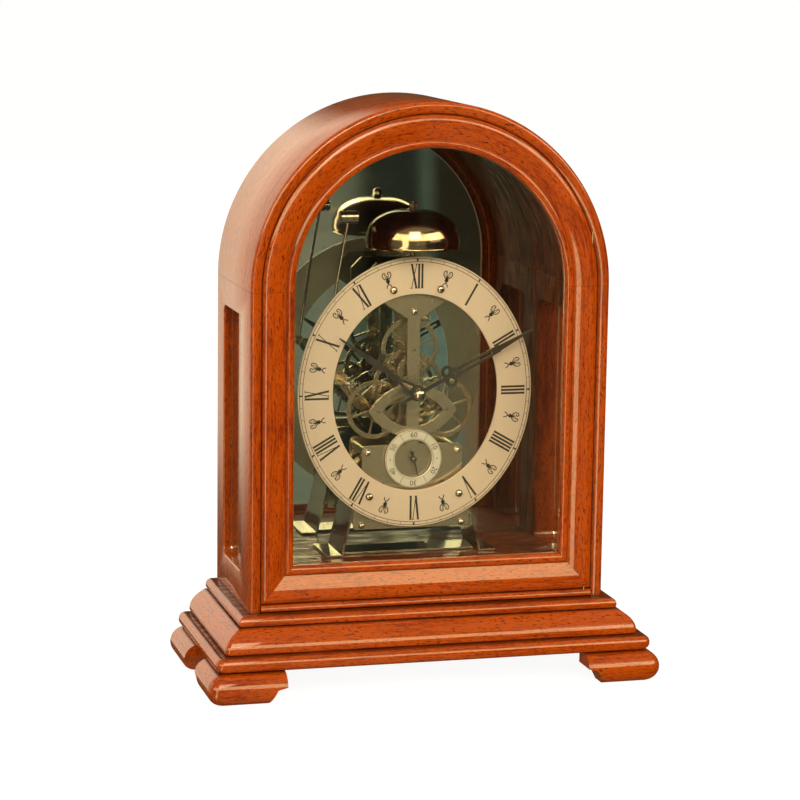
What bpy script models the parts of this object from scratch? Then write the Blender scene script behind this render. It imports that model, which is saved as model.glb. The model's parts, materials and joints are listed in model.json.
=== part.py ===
"""Round-top mantel clock with a skeleton movement, a bell strike and a mirror back.

Metres, +Z up, and the clock faces -Y. The origin is on the floor, under the middle of the clock.
In the functions, x is across, depth is measured back from the front face of the case, and height is
measured up from the underside of the case. Turning pieces keep their origin on their arbor.
"""

from math import atan2, cos, hypot, pi, radians, sin, sqrt

import bmesh
import bpy
from mathutils import Vector

MM = 0.001
GAP = 0.3 * MM

# Case
HALF_WIDTH = 115 * MM
SPRING = 199.3 * MM
CASE_DEPTH = 100 * MM
WALL = 20.7 * MM
BASE_Z = 50.8 * MM
FOOT_REACH = 31 * MM
FOOT_TOP = 31 * MM
FOOT_THICK = 20 * MM
FOOT_LENGTH = 49 * MM
CORNER_STEPS = 4
FRONT_Y = -(CASE_DEPTH - FOOT_REACH) / 2
BACK_REBATE = 95.2 * MM
FLOOR = 23 * MM
SILL = 4.9 * MM
ARCH_STEPS = 24

# Door
RAIL_LOW = 5.3
DOOR_REBATE = 14.8 * MM
GLASS_EDGE = 24.8 * MM
GLASS_FRONT = 8 * MM
GLASS_THICK = 2.5 * MM
HINGE_X = 103.5 * MM
HINGE_DEPTH = 2 * MM
PIN_RADIUS = 0.8 * MM

# Movement
CENTRE = 129.3 * MM
FRONT_PLATE = 44 * MM
BACK_PLATE = 76 * MM
PLATE = 2 * MM
ARBOR = 1.0 * MM
HOLE = ARBOR + 0.35 * MM
WHEEL = 1.2 * MM
LAYER_HOUR = 46.6 * MM
LAYER_CANNON = 48.6 * MM
LAYER_INTERMEDIATE = 51.0 * MM
LAYER_WHEEL = 53.2 * MM
LAYER_CENTRE = 57.0 * MM
LAYER_THIRD = 62.0 * MM
LAYER_ESCAPE = 68.0 * MM

# Tooth counts and modules
CENTRE_TEETH, CENTRE_MODULE = 96, 0.4833 * MM
WHEEL_TEETH, WHEEL_MODULE = 90, 0.4167 * MM
THIRD_MODULE = 0.345 * MM
LEAVES = 12
INTERMEDIATE_PINION = 35
MOTION_TEETH, MOTION_MODULE = 36, 0.5 * MM
HOUR_TEETH, HOUR_MODULE = 48, 0.4 * MM
GREAT_TEETH, GREAT_MODULE = 96, 0.4 * MM
ESCAPE_TEETH = 15

# Arbors, as x and height
SECONDS_AT = (0, 85.6 * MM)
CENTRE_AT = (0, CENTRE)
THIRD_AT = (0, CENTRE - CENTRE_MODULE * (CENTRE_TEETH + LEAVES) / 2)
FOURTH_AT = (0, CENTRE + CENTRE_MODULE * (CENTRE_TEETH + LEAVES) / 2)
MOTION_AT = (0, CENTRE + MOTION_MODULE * (MOTION_TEETH + LEAVES) / 2)
BARREL_X, BARREL_HEIGHT = 20 * MM, 68 * MM
PALLET_AT = (11.2 * MM, 185.8 * MM)
BALANCE_AT = (12 * MM, 199 * MM)
HAMMER_AT = (-54 * MM, 150 * MM)
HAMMER_HEAD = (-40 * MM, 238.9 * MM)
HAMMER_DEPTH = 57.5 * MM
BELL_DEPTH = 51 * MM
BELL_RIM = 220 * MM

# Dial
RING_CENTRE = 128.8 * MM
RING_OUTER = (76.6 * MM, 86.5 * MM)
RING_INNER = (54.05 * MM, 63 * MM)
RING_FRONT = 38.3 * MM
STUDS = ((15.4 * MM, 194.5 * MM), (29.6 * MM, 62.8 * MM))
MINUTE_ANGLE = radians(62.3)
HOUR_ANGLE = radians(305.2)
SECONDS_ANGLE = radians(166)
PILLARS = ((29.6 * MM, 90 * MM), (32.9 * MM, 43 * MM))

# Sections as distance in from the outer edge, and depth
BAND_INSET = 7.35
CASE_SECTION = [(0, 100), (0, 2.4), (0.5, 1.1), (1.6, 0.2), (2.9, 0), (4.6, 0.35), (6.2, 1.15),
                (BAND_INSET, 2.1), (BAND_INSET, 14.8), (20.7, 14.8), (20.7, 95.2), (17, 95.2), (17, 100)]
DOOR_SECTION = [(7.65, 14), (7.65, 2.1), (9.4, 0.6), (10.6, 0.15), (12, 0), (14.5, 0.3), (18, 1.4),
                (21, 2.7), (22.8, 3.4), (23.3, 2.5), (24.8, 1.6), (26.6, 1.8), (28, 2.8), (28.45, 4.2),
                (28.45, 7.6), (24.5, 7.6), (24.5, 14)]
# Plinth mouldings as height and how far they stand out from the case
BEAD_LEVELS = [(-6.7, 6.5), (-5.6, 7.4), (-3.4, 7.6), (-1.4, 6.6), (-0.3, 4.2)]
OVOLO_LEVELS = [(-21.4, 17.6), (-19.8, 18.2), (-16.5, 17.8), (-13, 15.9), (-10, 12.8), (-8, 9.8), (-7, 8.2)]
TORUS_LEVELS = [(-31, 20.5), (-30.6, 22.6), (-29.4, 24.4), (-27.5, 25.3), (-25.2, 25.3), (-23.2, 24.4),
                (-22, 22.6), (-21.7, 20.5)]
BEAD_CORNER, OVOLO_CORNER, TORUS_CORNER = 0.8 * MM, 3.6 * MM, 5.2 * MM


def clear_scene():
    """Removes whatever the scene holds."""
    for thing in list(bpy.data.objects):
        bpy.data.objects.remove(thing)


def make_collection(name):
    """A new collection linked to the scene."""
    group = bpy.data.collections.new(name)
    bpy.context.scene.collection.children.link(group)
    return group


clear_scene()
CLOCK = make_collection("skeleton_clock")
CUTTERS = make_collection("cutters")


def finish(name, colour, roughness, metallic):
    """A Principled material."""
    material = bpy.data.materials.new(name)
    material.use_nodes = True
    shader = material.node_tree.nodes["Principled BSDF"]
    shader.inputs["Base Color"].default_value = (*colour, 1)
    shader.inputs["Roughness"].default_value = roughness
    shader.inputs["Metallic"].default_value = metallic
    return material


WOOD = finish("wood", (0.45, 0.07, 0.015), 0.25, 0)
GLASS = finish("glass", (0.9, 0.95, 0.93), 0.05, 0)
MIRROR = finish("mirror", (0.85, 0.9, 0.87), 0.03, 1)
BOARD = finish("board", (0.1, 0.06, 0.04), 0.6, 0)
NICKEL = finish("nickel", (0.62, 0.58, 0.46), 0.25, 1)
BRASS = finish("brass", (0.75, 0.55, 0.25), 0.25, 1)
STEEL = finish("steel", (0.55, 0.53, 0.5), 0.25, 1)
DIAL = finish("dial", (0.82, 0.66, 0.48), 0.4, 0.3)
SILVER = finish("silver", (0.75, 0.73, 0.68), 0.3, 0.8)
BLACK = finish("black", (0.02, 0.018, 0.016), 0.35, 0)
BRONZE = finish("bronze", (0.3, 0.24, 0.18), 0.15, 1)


def at(x, depth, height):
    """A place in the world."""
    return Vector((x, FRONT_Y + depth, BASE_Z + height))


def add(name, mesh, material, location=(0, 0, 0), rotation=(0, 0, 0)):
    """An object of the clock, shaded smooth up to 35 degrees."""
    thing = bpy.data.objects.new(name, mesh)
    thing.location = location
    thing.rotation_euler = rotation
    mesh.materials.clear()
    mesh.materials.append(material)
    mesh.shade_smooth()
    mesh.set_sharp_from_angle(angle=radians(35))
    CLOCK.objects.link(thing)
    return thing


def to_cutter(thing):
    """Hides an object that only cuts or joins others."""
    thing.hide_render = True
    thing.display_type = "WIRE"
    for group in list(thing.users_collection):
        group.objects.unlink(thing)
    CUTTERS.objects.link(thing)


def combine(thing, other, operation):
    """An exact Boolean on an object."""
    step = thing.modifiers.new(operation.lower(), "BOOLEAN")
    step.operation = operation
    step.solver = "EXACT"
    step.object = other
    if other.name not in CUTTERS.objects:
        to_cutter(other)


def bm_mesh(name, bm):
    """The mesh of a bmesh, with its faces turned out."""
    bmesh.ops.recalc_face_normals(bm, faces=bm.faces)
    mesh = bpy.data.meshes.new(name)
    bm.to_mesh(mesh)
    bm.free()
    return mesh


def drawn(name, loops):
    """A solid pushed through a row of closed loops with equal numbers of points."""
    bm = bmesh.new()
    face = bm.faces.new([bm.verts.new(point) for point in loops[0]])
    for number, loop in enumerate(loops[1:]):
        grown = bmesh.ops.extrude_face_region(bm, geom=[face])["geom"]
        if number:
            bmesh.ops.delete(bm, geom=[face], context="FACES_ONLY")
        face = next(item for item in grown if isinstance(item, bmesh.types.BMFace))
        for vertex, point in zip(face.verts, loop):
            vertex.co = point
    return bm_mesh(name, bm)


def swept_arch(name, section, half_width):
    """A half ring about the spring centre, from a section of inset and depth in millimetres."""
    bm = bmesh.new()
    points = [at(half_width - inset * MM, depth * MM, SPRING + GAP / 2) for inset, depth in section]
    face = bm.faces.new([bm.verts.new(point) for point in points])
    bmesh.ops.spin(bm, geom=[face], cent=at(0, 0, SPRING + GAP / 2), axis=(0, -1, 0), angle=pi,
                   steps=ARCH_STEPS, use_duplicate=False)
    bmesh.ops.remove_doubles(bm, verts=bm.verts, dist=1e-6)
    return bm_mesh(name, bm)


def in_metres(points):
    """Points drawn in millimetres."""
    return [(x * MM, y * MM) for x, y in points]


def disc(radius, count, centre=(0, 0), start=0.0):
    """A circle as points."""
    steps = [start + 2 * pi * k / count for k in range(count)]
    return [(centre[0] + radius * cos(a), centre[1] + radius * sin(a)) for a in steps]


def oval(axes, count):
    """An upright ellipse as points."""
    return [(axes[0] * cos(2 * pi * k / count), axes[1] * sin(2 * pi * k / count)) for k in range(count)]


def arch_outline(half_width, foot):
    """A round-topped outline from the foot up, about the spring centre."""
    arc = [(half_width * cos(pi * k / ARCH_STEPS), half_width * sin(pi * k / ARCH_STEPS))
           for k in range(ARCH_STEPS + 1)]
    return [(half_width, foot - SPRING), *arc, (-half_width, foot - SPRING)]


def rounded_box(width, height, radius, steps=4):
    """A rounded rectangle about its middle."""
    points = []
    for corner, (sx, sy) in enumerate(((1, 1), (-1, 1), (-1, -1), (1, -1))):
        for k in range(steps + 1):
            a = pi / 2 * (corner + k / steps)
            points.append((sx * (width / 2 - radius) + radius * cos(a),
                           sy * (height / 2 - radius) + radius * sin(a)))
    return points


def outline_mesh(name, outlines, thickness):
    """The mesh of a flat 2D curve with holes, thickness centred on its plane."""
    curve = bpy.data.curves.new(name, "CURVE")
    curve.dimensions = "2D"
    curve.fill_mode = "BOTH"
    curve.extrude = thickness / 2
    for outline in outlines:
        spline = curve.splines.new("POLY")
        spline.points.add(len(outline) - 1)
        for point, (x, y) in zip(spline.points, outline):
            point.co = (x, y, 0, 1)
        spline.use_cyclic_u = True
    guide = bpy.data.objects.new(name, curve)
    CUTTERS.objects.link(guide)
    graph = bpy.context.evaluated_depsgraph_get()
    mesh = bpy.data.meshes.new_from_object(guide.evaluated_get(graph))
    bpy.data.objects.remove(guide)
    bm = bmesh.new()
    bm.from_mesh(mesh)
    bmesh.ops.remove_doubles(bm, verts=bm.verts, dist=1e-7)
    bmesh.ops.recalc_face_normals(bm, faces=bm.faces)
    bm.to_mesh(mesh)
    bm.free()
    return mesh


UPRIGHT = (pi / 2, 0, 0)
SIDEWAYS = (pi / 2, 0, pi / 2)


def flat(name, outlines, front, thickness, material, centre=(0, 0)):
    """A flat piece facing front, its outlines about the centre, its front face at a depth."""
    mesh = outline_mesh(name, outlines, thickness)
    return add(name, mesh, material, at(centre[0], front + thickness / 2, centre[1]), UPRIGHT)


def round_bar(name, radius, length, sides=12):
    """The mesh of a capped cylinder along Z, about its middle."""
    bm = bmesh.new()
    bmesh.ops.create_cone(bm, cap_ends=True, segments=sides, radius1=radius, radius2=radius, depth=length)
    return bm_mesh(name, bm)


def rod(name, radius, start, end, centre, material, sides=10):
    """A round bar running back from one depth to another."""
    mesh = round_bar(name, radius, end - start, sides)
    return add(name, mesh, material, at(centre[0], (start + end) / 2, centre[1]), UPRIGHT)


def drill(thing, radius, centre):
    """A round hole right through both depths of the clock."""
    cutter = rod(f"{thing.name}_drill", radius, 0, CASE_DEPTH, centre, thing.data.materials[0])
    combine(thing, cutter, "DIFFERENCE")


def turned(name, profile, steps, material, location, rotation=(0, 0, 0), closed=False):
    """A profile of radius and height in metres, top to bottom, turned about Z."""
    bm = bmesh.new()
    points = [bm.verts.new((r, 0, z)) for r, z in profile]
    for a, b in zip(points, points[1:] + points[:1] if closed else points[1:]):
        bm.edges.new((a, b))
    mesh = bpy.data.meshes.new(name)
    bm.to_mesh(mesh)
    bm.free()
    thing = add(name, mesh, material, location, rotation)
    screw = thing.modifiers.new("turn", "SCREW")
    screw.steps = screw.render_steps = steps
    screw.use_merge_vertices = True
    screw.merge_threshold = 1e-6
    screw.use_smooth_shade = True
    return thing


# Gears


def wheel_teeth(teeth, module, phase=0.0):
    """Pointed wheel teeth, one at the phase angle."""
    pitch, points = teeth * module / 2, []
    for k in range(teeth):
        a = phase + 2 * pi * k / teeth
        half = pi / teeth
        points += [(a, pitch + 0.9 * module), (a + half, pitch - module)]
    return [(r * cos(a), r * sin(a)) for a, r in points]


def pinion_teeth(leaves, module, phase=0.0):
    """Pinion leaves with narrow flat tips, one at the phase angle."""
    pitch, points = leaves * module / 2, []
    for k in range(leaves):
        a, step = phase + 2 * pi * k / leaves, 2 * pi / leaves
        root, tip = pitch - 1.1 * module, pitch + 0.6 * module
        points += [(a - 0.25 * step, root), (a - 0.06 * step, tip), (a + 0.06 * step, tip),
                   (a + 0.25 * step, root)]
    return [(r * cos(a), r * sin(a)) for a, r in points]


def meshed(teeth, phase, place, other_teeth, other_place):
    """The phase that meshes another gear with one of known phase."""
    line = atan2(other_place[1] - place[1], other_place[0] - place[0])
    return line + pi + pi / other_teeth + teeth / other_teeth * (line - phase)


def windows(spokes, hub, rim, width, phase=0.0):
    """The openings between the spokes of a wheel."""
    openings = []
    for k in range(spokes):
        first, last = phase + 2 * pi * k / spokes, phase + 2 * pi * (k + 1) / spokes
        rim_gap, hub_gap = width / 2 / rim, width / 2 / hub
        outer = [first + rim_gap + (last - first - 2 * rim_gap) * j / 3 for j in range(4)]
        inner = [last - hub_gap, first + hub_gap]
        openings.append([(rim * cos(a), rim * sin(a)) for a in outer]
                        + [(hub * cos(a), hub * sin(a)) for a in inner])
    return openings


def rotor(name, place, material, bar, pieces):
    """A turning piece: an arbor between two depths, with flat pieces of outlines, front and thickness."""
    thing = rod(name, bar[2], bar[0], bar[1], place, material)
    for number, (outlines, front, thickness) in enumerate(pieces):
        piece = flat(f"{name}_{number}", outlines, front, thickness, material, place)
        combine(thing, piece, "UNION")
    return thing


# Case


def wall_points(section, side, height):
    """A wall's section at one height; side is 1 on the right and -1 on the left."""
    return [at(side * (HALF_WIDTH - inset * MM), depth * MM, height(inset * MM)) for inset, depth in section]


def window_outline(margin):
    """The slot in a side wall, about its middle, grown by a margin."""
    return rounded_box(52.9 * MM + 2 * margin, 161 * MM + 2 * margin, 5.5 * MM + margin)


WINDOW_DEPTH, WINDOW_HEIGHT = 54 * MM, 101.2 * MM
SIDE_GLASS_INSET = 6 * MM


def build_case():
    """The arch, side walls with glazed slots, bottom board, mirror and back board."""
    case_arch = add("case_arch", swept_arch("case_arch", CASE_SECTION, HALF_WIDTH), WOOD)
    sides = []
    for name, side in (("left", -1), ("right", 1)):
        loops = [wall_points(CASE_SECTION, side, lambda _: 0),
                 wall_points(CASE_SECTION, side, lambda _: SPRING - GAP / 2)]
        wall = add(f"case_side_{name}", drawn(f"case_side_{name}", loops), WOOD)
        slot = outline_mesh("slot", [window_outline(0)], 2 * WALL)
        cutter = add(f"slot_{name}", slot, WOOD,
                     at(side * (HALF_WIDTH - WALL / 2), WINDOW_DEPTH, WINDOW_HEIGHT), SIDEWAYS)
        combine(wall, cutter, "DIFFERENCE")
        pane = outline_mesh("pane", [window_outline(-GAP)], 2 * MM)
        add(f"side_glass_{name}", pane, GLASS,
            at(side * (HALF_WIDTH - SIDE_GLASS_INSET), WINDOW_DEPTH, WINDOW_HEIGHT), SIDEWAYS)
        sides.append(wall)

    inner, band = HALF_WIDTH - WALL - GAP, HALF_WIDTH - BAND_INSET * MM - GAP
    lip = DOOR_REBATE - 2 * MM
    outline = ((lip, 0), (lip, SILL), (DOOR_REBATE, SILL), (DOOR_REBATE, FLOOR), (BACK_REBATE, FLOOR),
               (BACK_REBATE, 0))
    board = drawn("case_bottom", [[at(x, d, h) for d, h in outline] for x in (-inner, inner)])
    sill = [(0, 1.2), (0.7, 0.5), (2.4, 0), (DOOR_REBATE / MM - 1, 0), (DOOR_REBATE / MM - 1, SILL / MM),
            (2.6, SILL / MM), (1.2, SILL / MM - 0.7), (0.3, SILL / MM - 2), (0, SILL / MM - 3.2)]
    sill_mesh = drawn("sill", [[at(x, d * MM, h * MM) for d, h in sill] for x in (-band, band)])
    bottom = add("case_bottom", board, WOOD)
    combine(bottom, add("sill", sill_mesh, WOOD), "UNION")

    fitted = HALF_WIDTH - 17 * MM - GAP
    flat("mirror", [arch_outline(fitted, 1 * MM)], 95.5 * MM, 2 * MM, MIRROR, (0, SPRING))
    flat("back_board", [arch_outline(fitted, 1 * MM)], 97.8 * MM, 2 * MM, BOARD, (0, SPRING))
    return case_arch, bottom


def round_corner(x, depth, radius, steps):
    """A rounded right-hand front corner of a plan, from the front edge to the side."""
    turns = [pi / 2 * k / steps for k in range(steps + 1)]
    return [(x - radius + radius * sin(a), depth + radius - radius * cos(a)) for a in turns]


def slab(name, levels, corner):
    """A plinth layer, moulded and rounded on the front and both sides and flush at the back."""
    loops, most = [], max(out for _, out in levels)
    for height, out in levels:
        x, radius = HALF_WIDTH + out * MM, max(0.4 * MM, corner - 0.35 * (most - out) * MM)
        right = round_corner(x, -out * MM, radius, CORNER_STEPS)
        plan = [(-a, d) for a, d in right[::-1]] + right + [(x, CASE_DEPTH), (-x, CASE_DEPTH)]
        loops.append([at(a, d, height * MM) for a, d in plan])
    return add(name, drawn(name, loops), WOOD)


def foot_levels():
    """A foot's outer reach, its length along the clock and its corner's round, at each height."""
    radius, rows = (BASE_Z - FOOT_TOP - GAP) / 2, []
    for k in range(9):
        a = pi * (k / 8 - 0.5)
        height = radius - BASE_Z + radius * sin(a)
        length = FOOT_LENGTH if height > -40 * MM else 38 * MM + (height + BASE_Z) * 0.5
        rows.append((height, FOOT_REACH - radius + radius * cos(a), length, (1.5 + 6 * cos(a)) * MM))
    return rows


def build_base():
    """Three moulded layers and four bracket feet."""
    slab("plinth_bead", BEAD_LEVELS, BEAD_CORNER)
    slab("plinth_ovolo", OVOLO_LEVELS, OVOLO_CORNER)
    slab("plinth_torus", TORUS_LEVELS, TORUS_CORNER)
    corner = HALF_WIDTH + FOOT_REACH
    for name, sx, front in (("front_left", -1, True), ("front_right", 1, True),
                            ("back_left", -1, False), ("back_right", 1, False)):
        loops = []
        for height, out, length, rounding in foot_levels():
            x_out, x_in, x_end = HALF_WIDTH + out, corner - FOOT_THICK, corner - length
            if front:
                y_out, y_in, y_end = -out, FOOT_THICK - FOOT_REACH, length - FOOT_REACH
                outer = round_corner(x_out, y_out, rounding, CORNER_STEPS)
            else:
                y_out, y_in, y_end = CASE_DEPTH, CASE_DEPTH - FOOT_THICK, CASE_DEPTH - length
                outer = [(x_out, y_out)]
            plan = (*outer, (x_out, y_end), (x_in, y_end), (x_in, y_in), (x_end, y_in), (x_end, y_out))
            loops.append([at(sx * x, y, height) for x, y in plan])
        add(f"foot_{name}", drawn(f"foot_{name}", loops), WOOD)


# Door


def rail_height(inset):
    """The height of a point of the rail or of a stile's mitred foot; the lower edge hangs near the sill."""
    outer, sight = DOOR_SECTION[0][0], DOOR_SECTION[-3][0]
    return (RAIL_LOW + (inset - outer) * (sight - RAIL_LOW) / (sight - outer)) * MM


def build_door(case_arch, bottom):
    """The glazed front door, turning on two pins in its right-hand edge."""
    hinge = bpy.data.objects.new("door_hinge", None)
    hinge.location = at(HINGE_X, HINGE_DEPTH, 0)
    CLOCK.objects.link(hinge)
    pieces = [add("door_arch", swept_arch("door_arch", DOOR_SECTION, HALF_WIDTH), WOOD)]
    mitre = GAP / sqrt(2)
    for name, side in (("left", -1), ("right", 1)):
        loops = [wall_points(DOOR_SECTION, side, lambda inset: rail_height(inset / MM) + mitre),
                 wall_points(DOOR_SECTION, side, lambda _: SPRING - GAP / 2)]
        pieces.append(add(f"door_stile_{name}", drawn(f"door_stile_{name}", loops), WOOD))
    rail = [[at(side * (HALF_WIDTH - inset * MM - mitre), depth * MM, rail_height(inset))
             for inset, depth in DOOR_SECTION] for side in (-1, 1)]
    pieces.append(add("door_rail", drawn("door_rail", rail), WOOD))
    pieces.append(flat("door_glass", [arch_outline(HALF_WIDTH - GLASS_EDGE, GLASS_EDGE)], GLASS_FRONT,
                       GLASS_THICK, GLASS, (0, SPRING)))

    for name, low, high in (("lower", 1, 18), ("upper", 212, 238)):
        length = (high - low) * MM
        middle = at(HINGE_X, HINGE_DEPTH, (low + high) / 2 * MM)
        add(f"door_pivot_{name}", round_bar("pin", PIN_RADIUS, length), BRASS, middle)
        hole = add(f"pin_hole_{name}", round_bar("pin_hole", PIN_RADIUS + GAP, length + 2 * GAP), BRASS,
                   middle)
        wooden = (bottom, pieces[2], pieces[3]) if name == "lower" else (case_arch, pieces[0])
        for piece in wooden:
            combine(piece, hole, "DIFFERENCE")
    bpy.context.view_layer.update()
    for piece in pieces:
        piece.parent = hinge
        piece.matrix_parent_inverse = hinge.matrix_world.inverted()


# Movement frame and dial


def lower_plate():
    """The broad lower part of a plate."""
    right = [(38, 40.3), (38, 60), (33, 66), (33, 91.5), (32.1, 93.6), (30, 94.5)]
    return [(x * MM, h * MM) for x, h in right] + [(-x * MM, h * MM) for x, h in reversed(right)]


def top_plate(height):
    """The flared head of a plate, behind the top of the chapter ring."""
    right = [(4.1, 175.3), (18.2, 184.6), (24, 188.5), (24, 200), (17, height)]
    return [(x * MM, h * MM) for x, h in right] + [(-x * MM, h * MM) for x, h in reversed(right)]


def eye(half_width, half_height, count=11):
    """A pointed oval made of two arcs."""
    radius = (half_width**2 + half_height**2) / (2 * half_height)
    spread = atan2(half_width, radius - half_height)
    arc = [pi / 2 - spread + 2 * spread * k / (count - 1) for k in range(count)]
    upper = [(radius * cos(a), radius * sin(a) - radius + half_height) for a in arc]
    return upper + [(-x, -y) for x, y in upper[1:-1]]


def build_plate(name, front, material):
    """One movement plate: head, bar, eye-shaped bridge and lower part, with its pivot holes."""
    middle = CENTRE_AT[1] - 13.1 * MM
    plate = flat(name, [lower_plate()], front, PLATE, material)
    bar = [(4 * MM, 90 * MM), (4 * MM, 180 * MM), (-4 * MM, 180 * MM), (-4 * MM, 90 * MM)]
    parts = [flat(f"{name}_bar", [bar], front, PLATE, material),
             flat(f"{name}_head", [top_plate(207)], front, PLATE, material),
             flat(f"{name}_eye", [eye(29 * MM, 17 * MM), eye(20 * MM, 10.5 * MM)], front, PLATE, material,
                  (0, middle)),
             flat(f"{name}_boss", [disc(6.5 * MM, 20)], front, PLATE, material, CENTRE_AT)]
    if front == BACK_PLATE:
        ends = ((-26 * MM, middle), FLY_AT, HAMMER_AT)
        for number, (a, b) in enumerate(zip(ends, ends[1:])):
            slope, length = atan2(b[1] - a[1], b[0] - a[0]), hypot(b[0] - a[0], b[1] - a[1])
            arm = flat(f"{name}_arm{number}", [rounded_box(length + 8 * MM, 8 * MM, 3.9 * MM)], front, PLATE,
                       material, ((a[0] + b[0]) / 2, (a[1] + b[1]) / 2))
            arm.rotation_euler = (pi / 2, -slope, 0)
            parts.append(arm)
    for part in parts:
        combine(plate, part, "UNION")
    holes = [THIRD_AT, SECONDS_AT, FOURTH_AT, STRIKE_AT, INTERMEDIATE_AT, PALLET_AT, BALANCE_AT, ESCAPE_AT]
    if front == BACK_PLATE:
        holes += [FLY_AT, HAMMER_AT]
    for place in holes:
        drill(plate, HOLE, place)
    for side in (-1, 1):
        drill(plate, 2.4 * MM, (side * BARREL_X, BARREL_HEIGHT))
    drill(plate, 3.6 * MM if front == FRONT_PLATE else 2 * MM, CENTRE_AT)
    return plate


def build_frame():
    """Plates, pillars, legs and the strap that stands on the case floor."""
    build_plate("front_plate", FRONT_PLATE, NICKEL)
    build_plate("back_plate", BACK_PLATE, BRASS)
    places = [(0, 179.9 * MM)] + [(side * x, h) for x, h in PILLARS for side in (-1, 1)]
    names = ("top", "upper_left", "upper_right", "lower_left", "lower_right")
    for name, place in zip(names, places):
        rod(f"pillar_{name}", 3 * MM, FRONT_PLATE + PLATE + GAP, BACK_PLATE - GAP, place, BRASS)
    for name, side in (("left", -1), ("right", 1)):
        strip = [(38.4, 60), (38.4, 51.8), (45.2, FLOOR / MM + GAP / MM), (56, FLOOR / MM + GAP / MM),
                 (56, FLOOR / MM + 1.5), (46.2, FLOOR / MM + 1.5), (39.6, 52), (39.6, 60)]
        loops = [[at(side * x * MM, d * MM, h * MM) for x, h in strip] for d in (43, 79)]
        add(f"leg_{name}", drawn(f"leg_{name}", loops), STEEL)
    strap = [[at(x * MM, d * MM, h) for d, h in ((50, FLOOR + GAP), (72, FLOOR + GAP), (72, FLOOR + 1.5 * MM),
                                                 (50, FLOOR + 1.5 * MM))] for x in (-44, 44)]
    add("seat_strap", drawn("seat_strap", strap), STEEL)


def build_dial():
    """The oval chapter ring on four studs, and the seconds ring on two posts."""
    ring = flat("chapter_ring", [oval(RING_OUTER, 64), oval(RING_INNER, 56)], RING_FRONT, 1.5 * MM, DIAL,
                (0, RING_CENTRE))
    profile = [(0, 1.9), (1.3, 1.5), (2.2, 0.6), (2.5, -0.2), (1.2, -0.2), (1.2, -5.6), (0, -5.6)]
    number = 0
    for x, height in STUDS:
        for side in (-1, 1):
            number += 1
            place = (side * x, height)
            drill(ring, 1.6 * MM, place)
            turned(f"dial_stud_{number}", in_metres(profile), 12, STEEL,
                   at(place[0], RING_FRONT - 0.5 * MM, place[1]), UPRIGHT)
    outlines = [disc(18.6 * MM, 40), disc(12.3 * MM, 32)]
    seconds = flat("seconds_ring", outlines, 41 * MM, 1 * MM, SILVER, SECONDS_AT)
    for side in (-1, 1):
        post = rod(f"seconds_post_{side}", 1.5 * MM, 41.5 * MM, FRONT_PLATE - GAP,
                   (SECONDS_AT[0] + side * 15.5 * MM, SECONDS_AT[1]), SILVER)
        combine(seconds, post, "UNION")


# Trains


def wheel_outlines(teeth, module, phase, spokes=6):
    """A crossed-out wheel."""
    radius = teeth * module / 2
    return [wheel_teeth(teeth, module, phase)] + windows(spokes, 3.2 * MM, radius - 2.6 * MM, 1.2 * MM, 0.3)


def beside(place, radius, angle):
    """A place at a distance and angle from another."""
    return place[0] + radius * cos(angle), place[1] + radius * sin(angle)


REACH = WHEEL_MODULE * (WHEEL_TEETH + INTERMEDIATE_PINION) / 2
INTERMEDIATE_AT = beside(CENTRE_AT, REACH, radians(-30.3))
STRIKE_AT = (-INTERMEDIATE_AT[0], INTERMEDIATE_AT[1])
TRAIN_REACH = WHEEL_MODULE * (WHEEL_TEETH + LEAVES) / 2
ESCAPE_AT = beside(FOURTH_AT, TRAIN_REACH, radians(60.4))
FLY_AT = beside(STRIKE_AT, TRAIN_REACH, radians(135))


def hand(name, outlines, hub, hole, front, angle, place, material=BLACK):
    """A flat hand pointing up before it is turned clockwise, with a round hub and a hole."""
    piece = flat(name, [outlines], front, 0.8 * MM, material, place)
    combine(piece, flat(f"{name}_hub", [disc(hub, 20)], front, 0.8 * MM, material, place), "UNION")
    piece.rotation_euler = (pi / 2, angle, 0)
    drill(piece, hole, place)
    return piece


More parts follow.
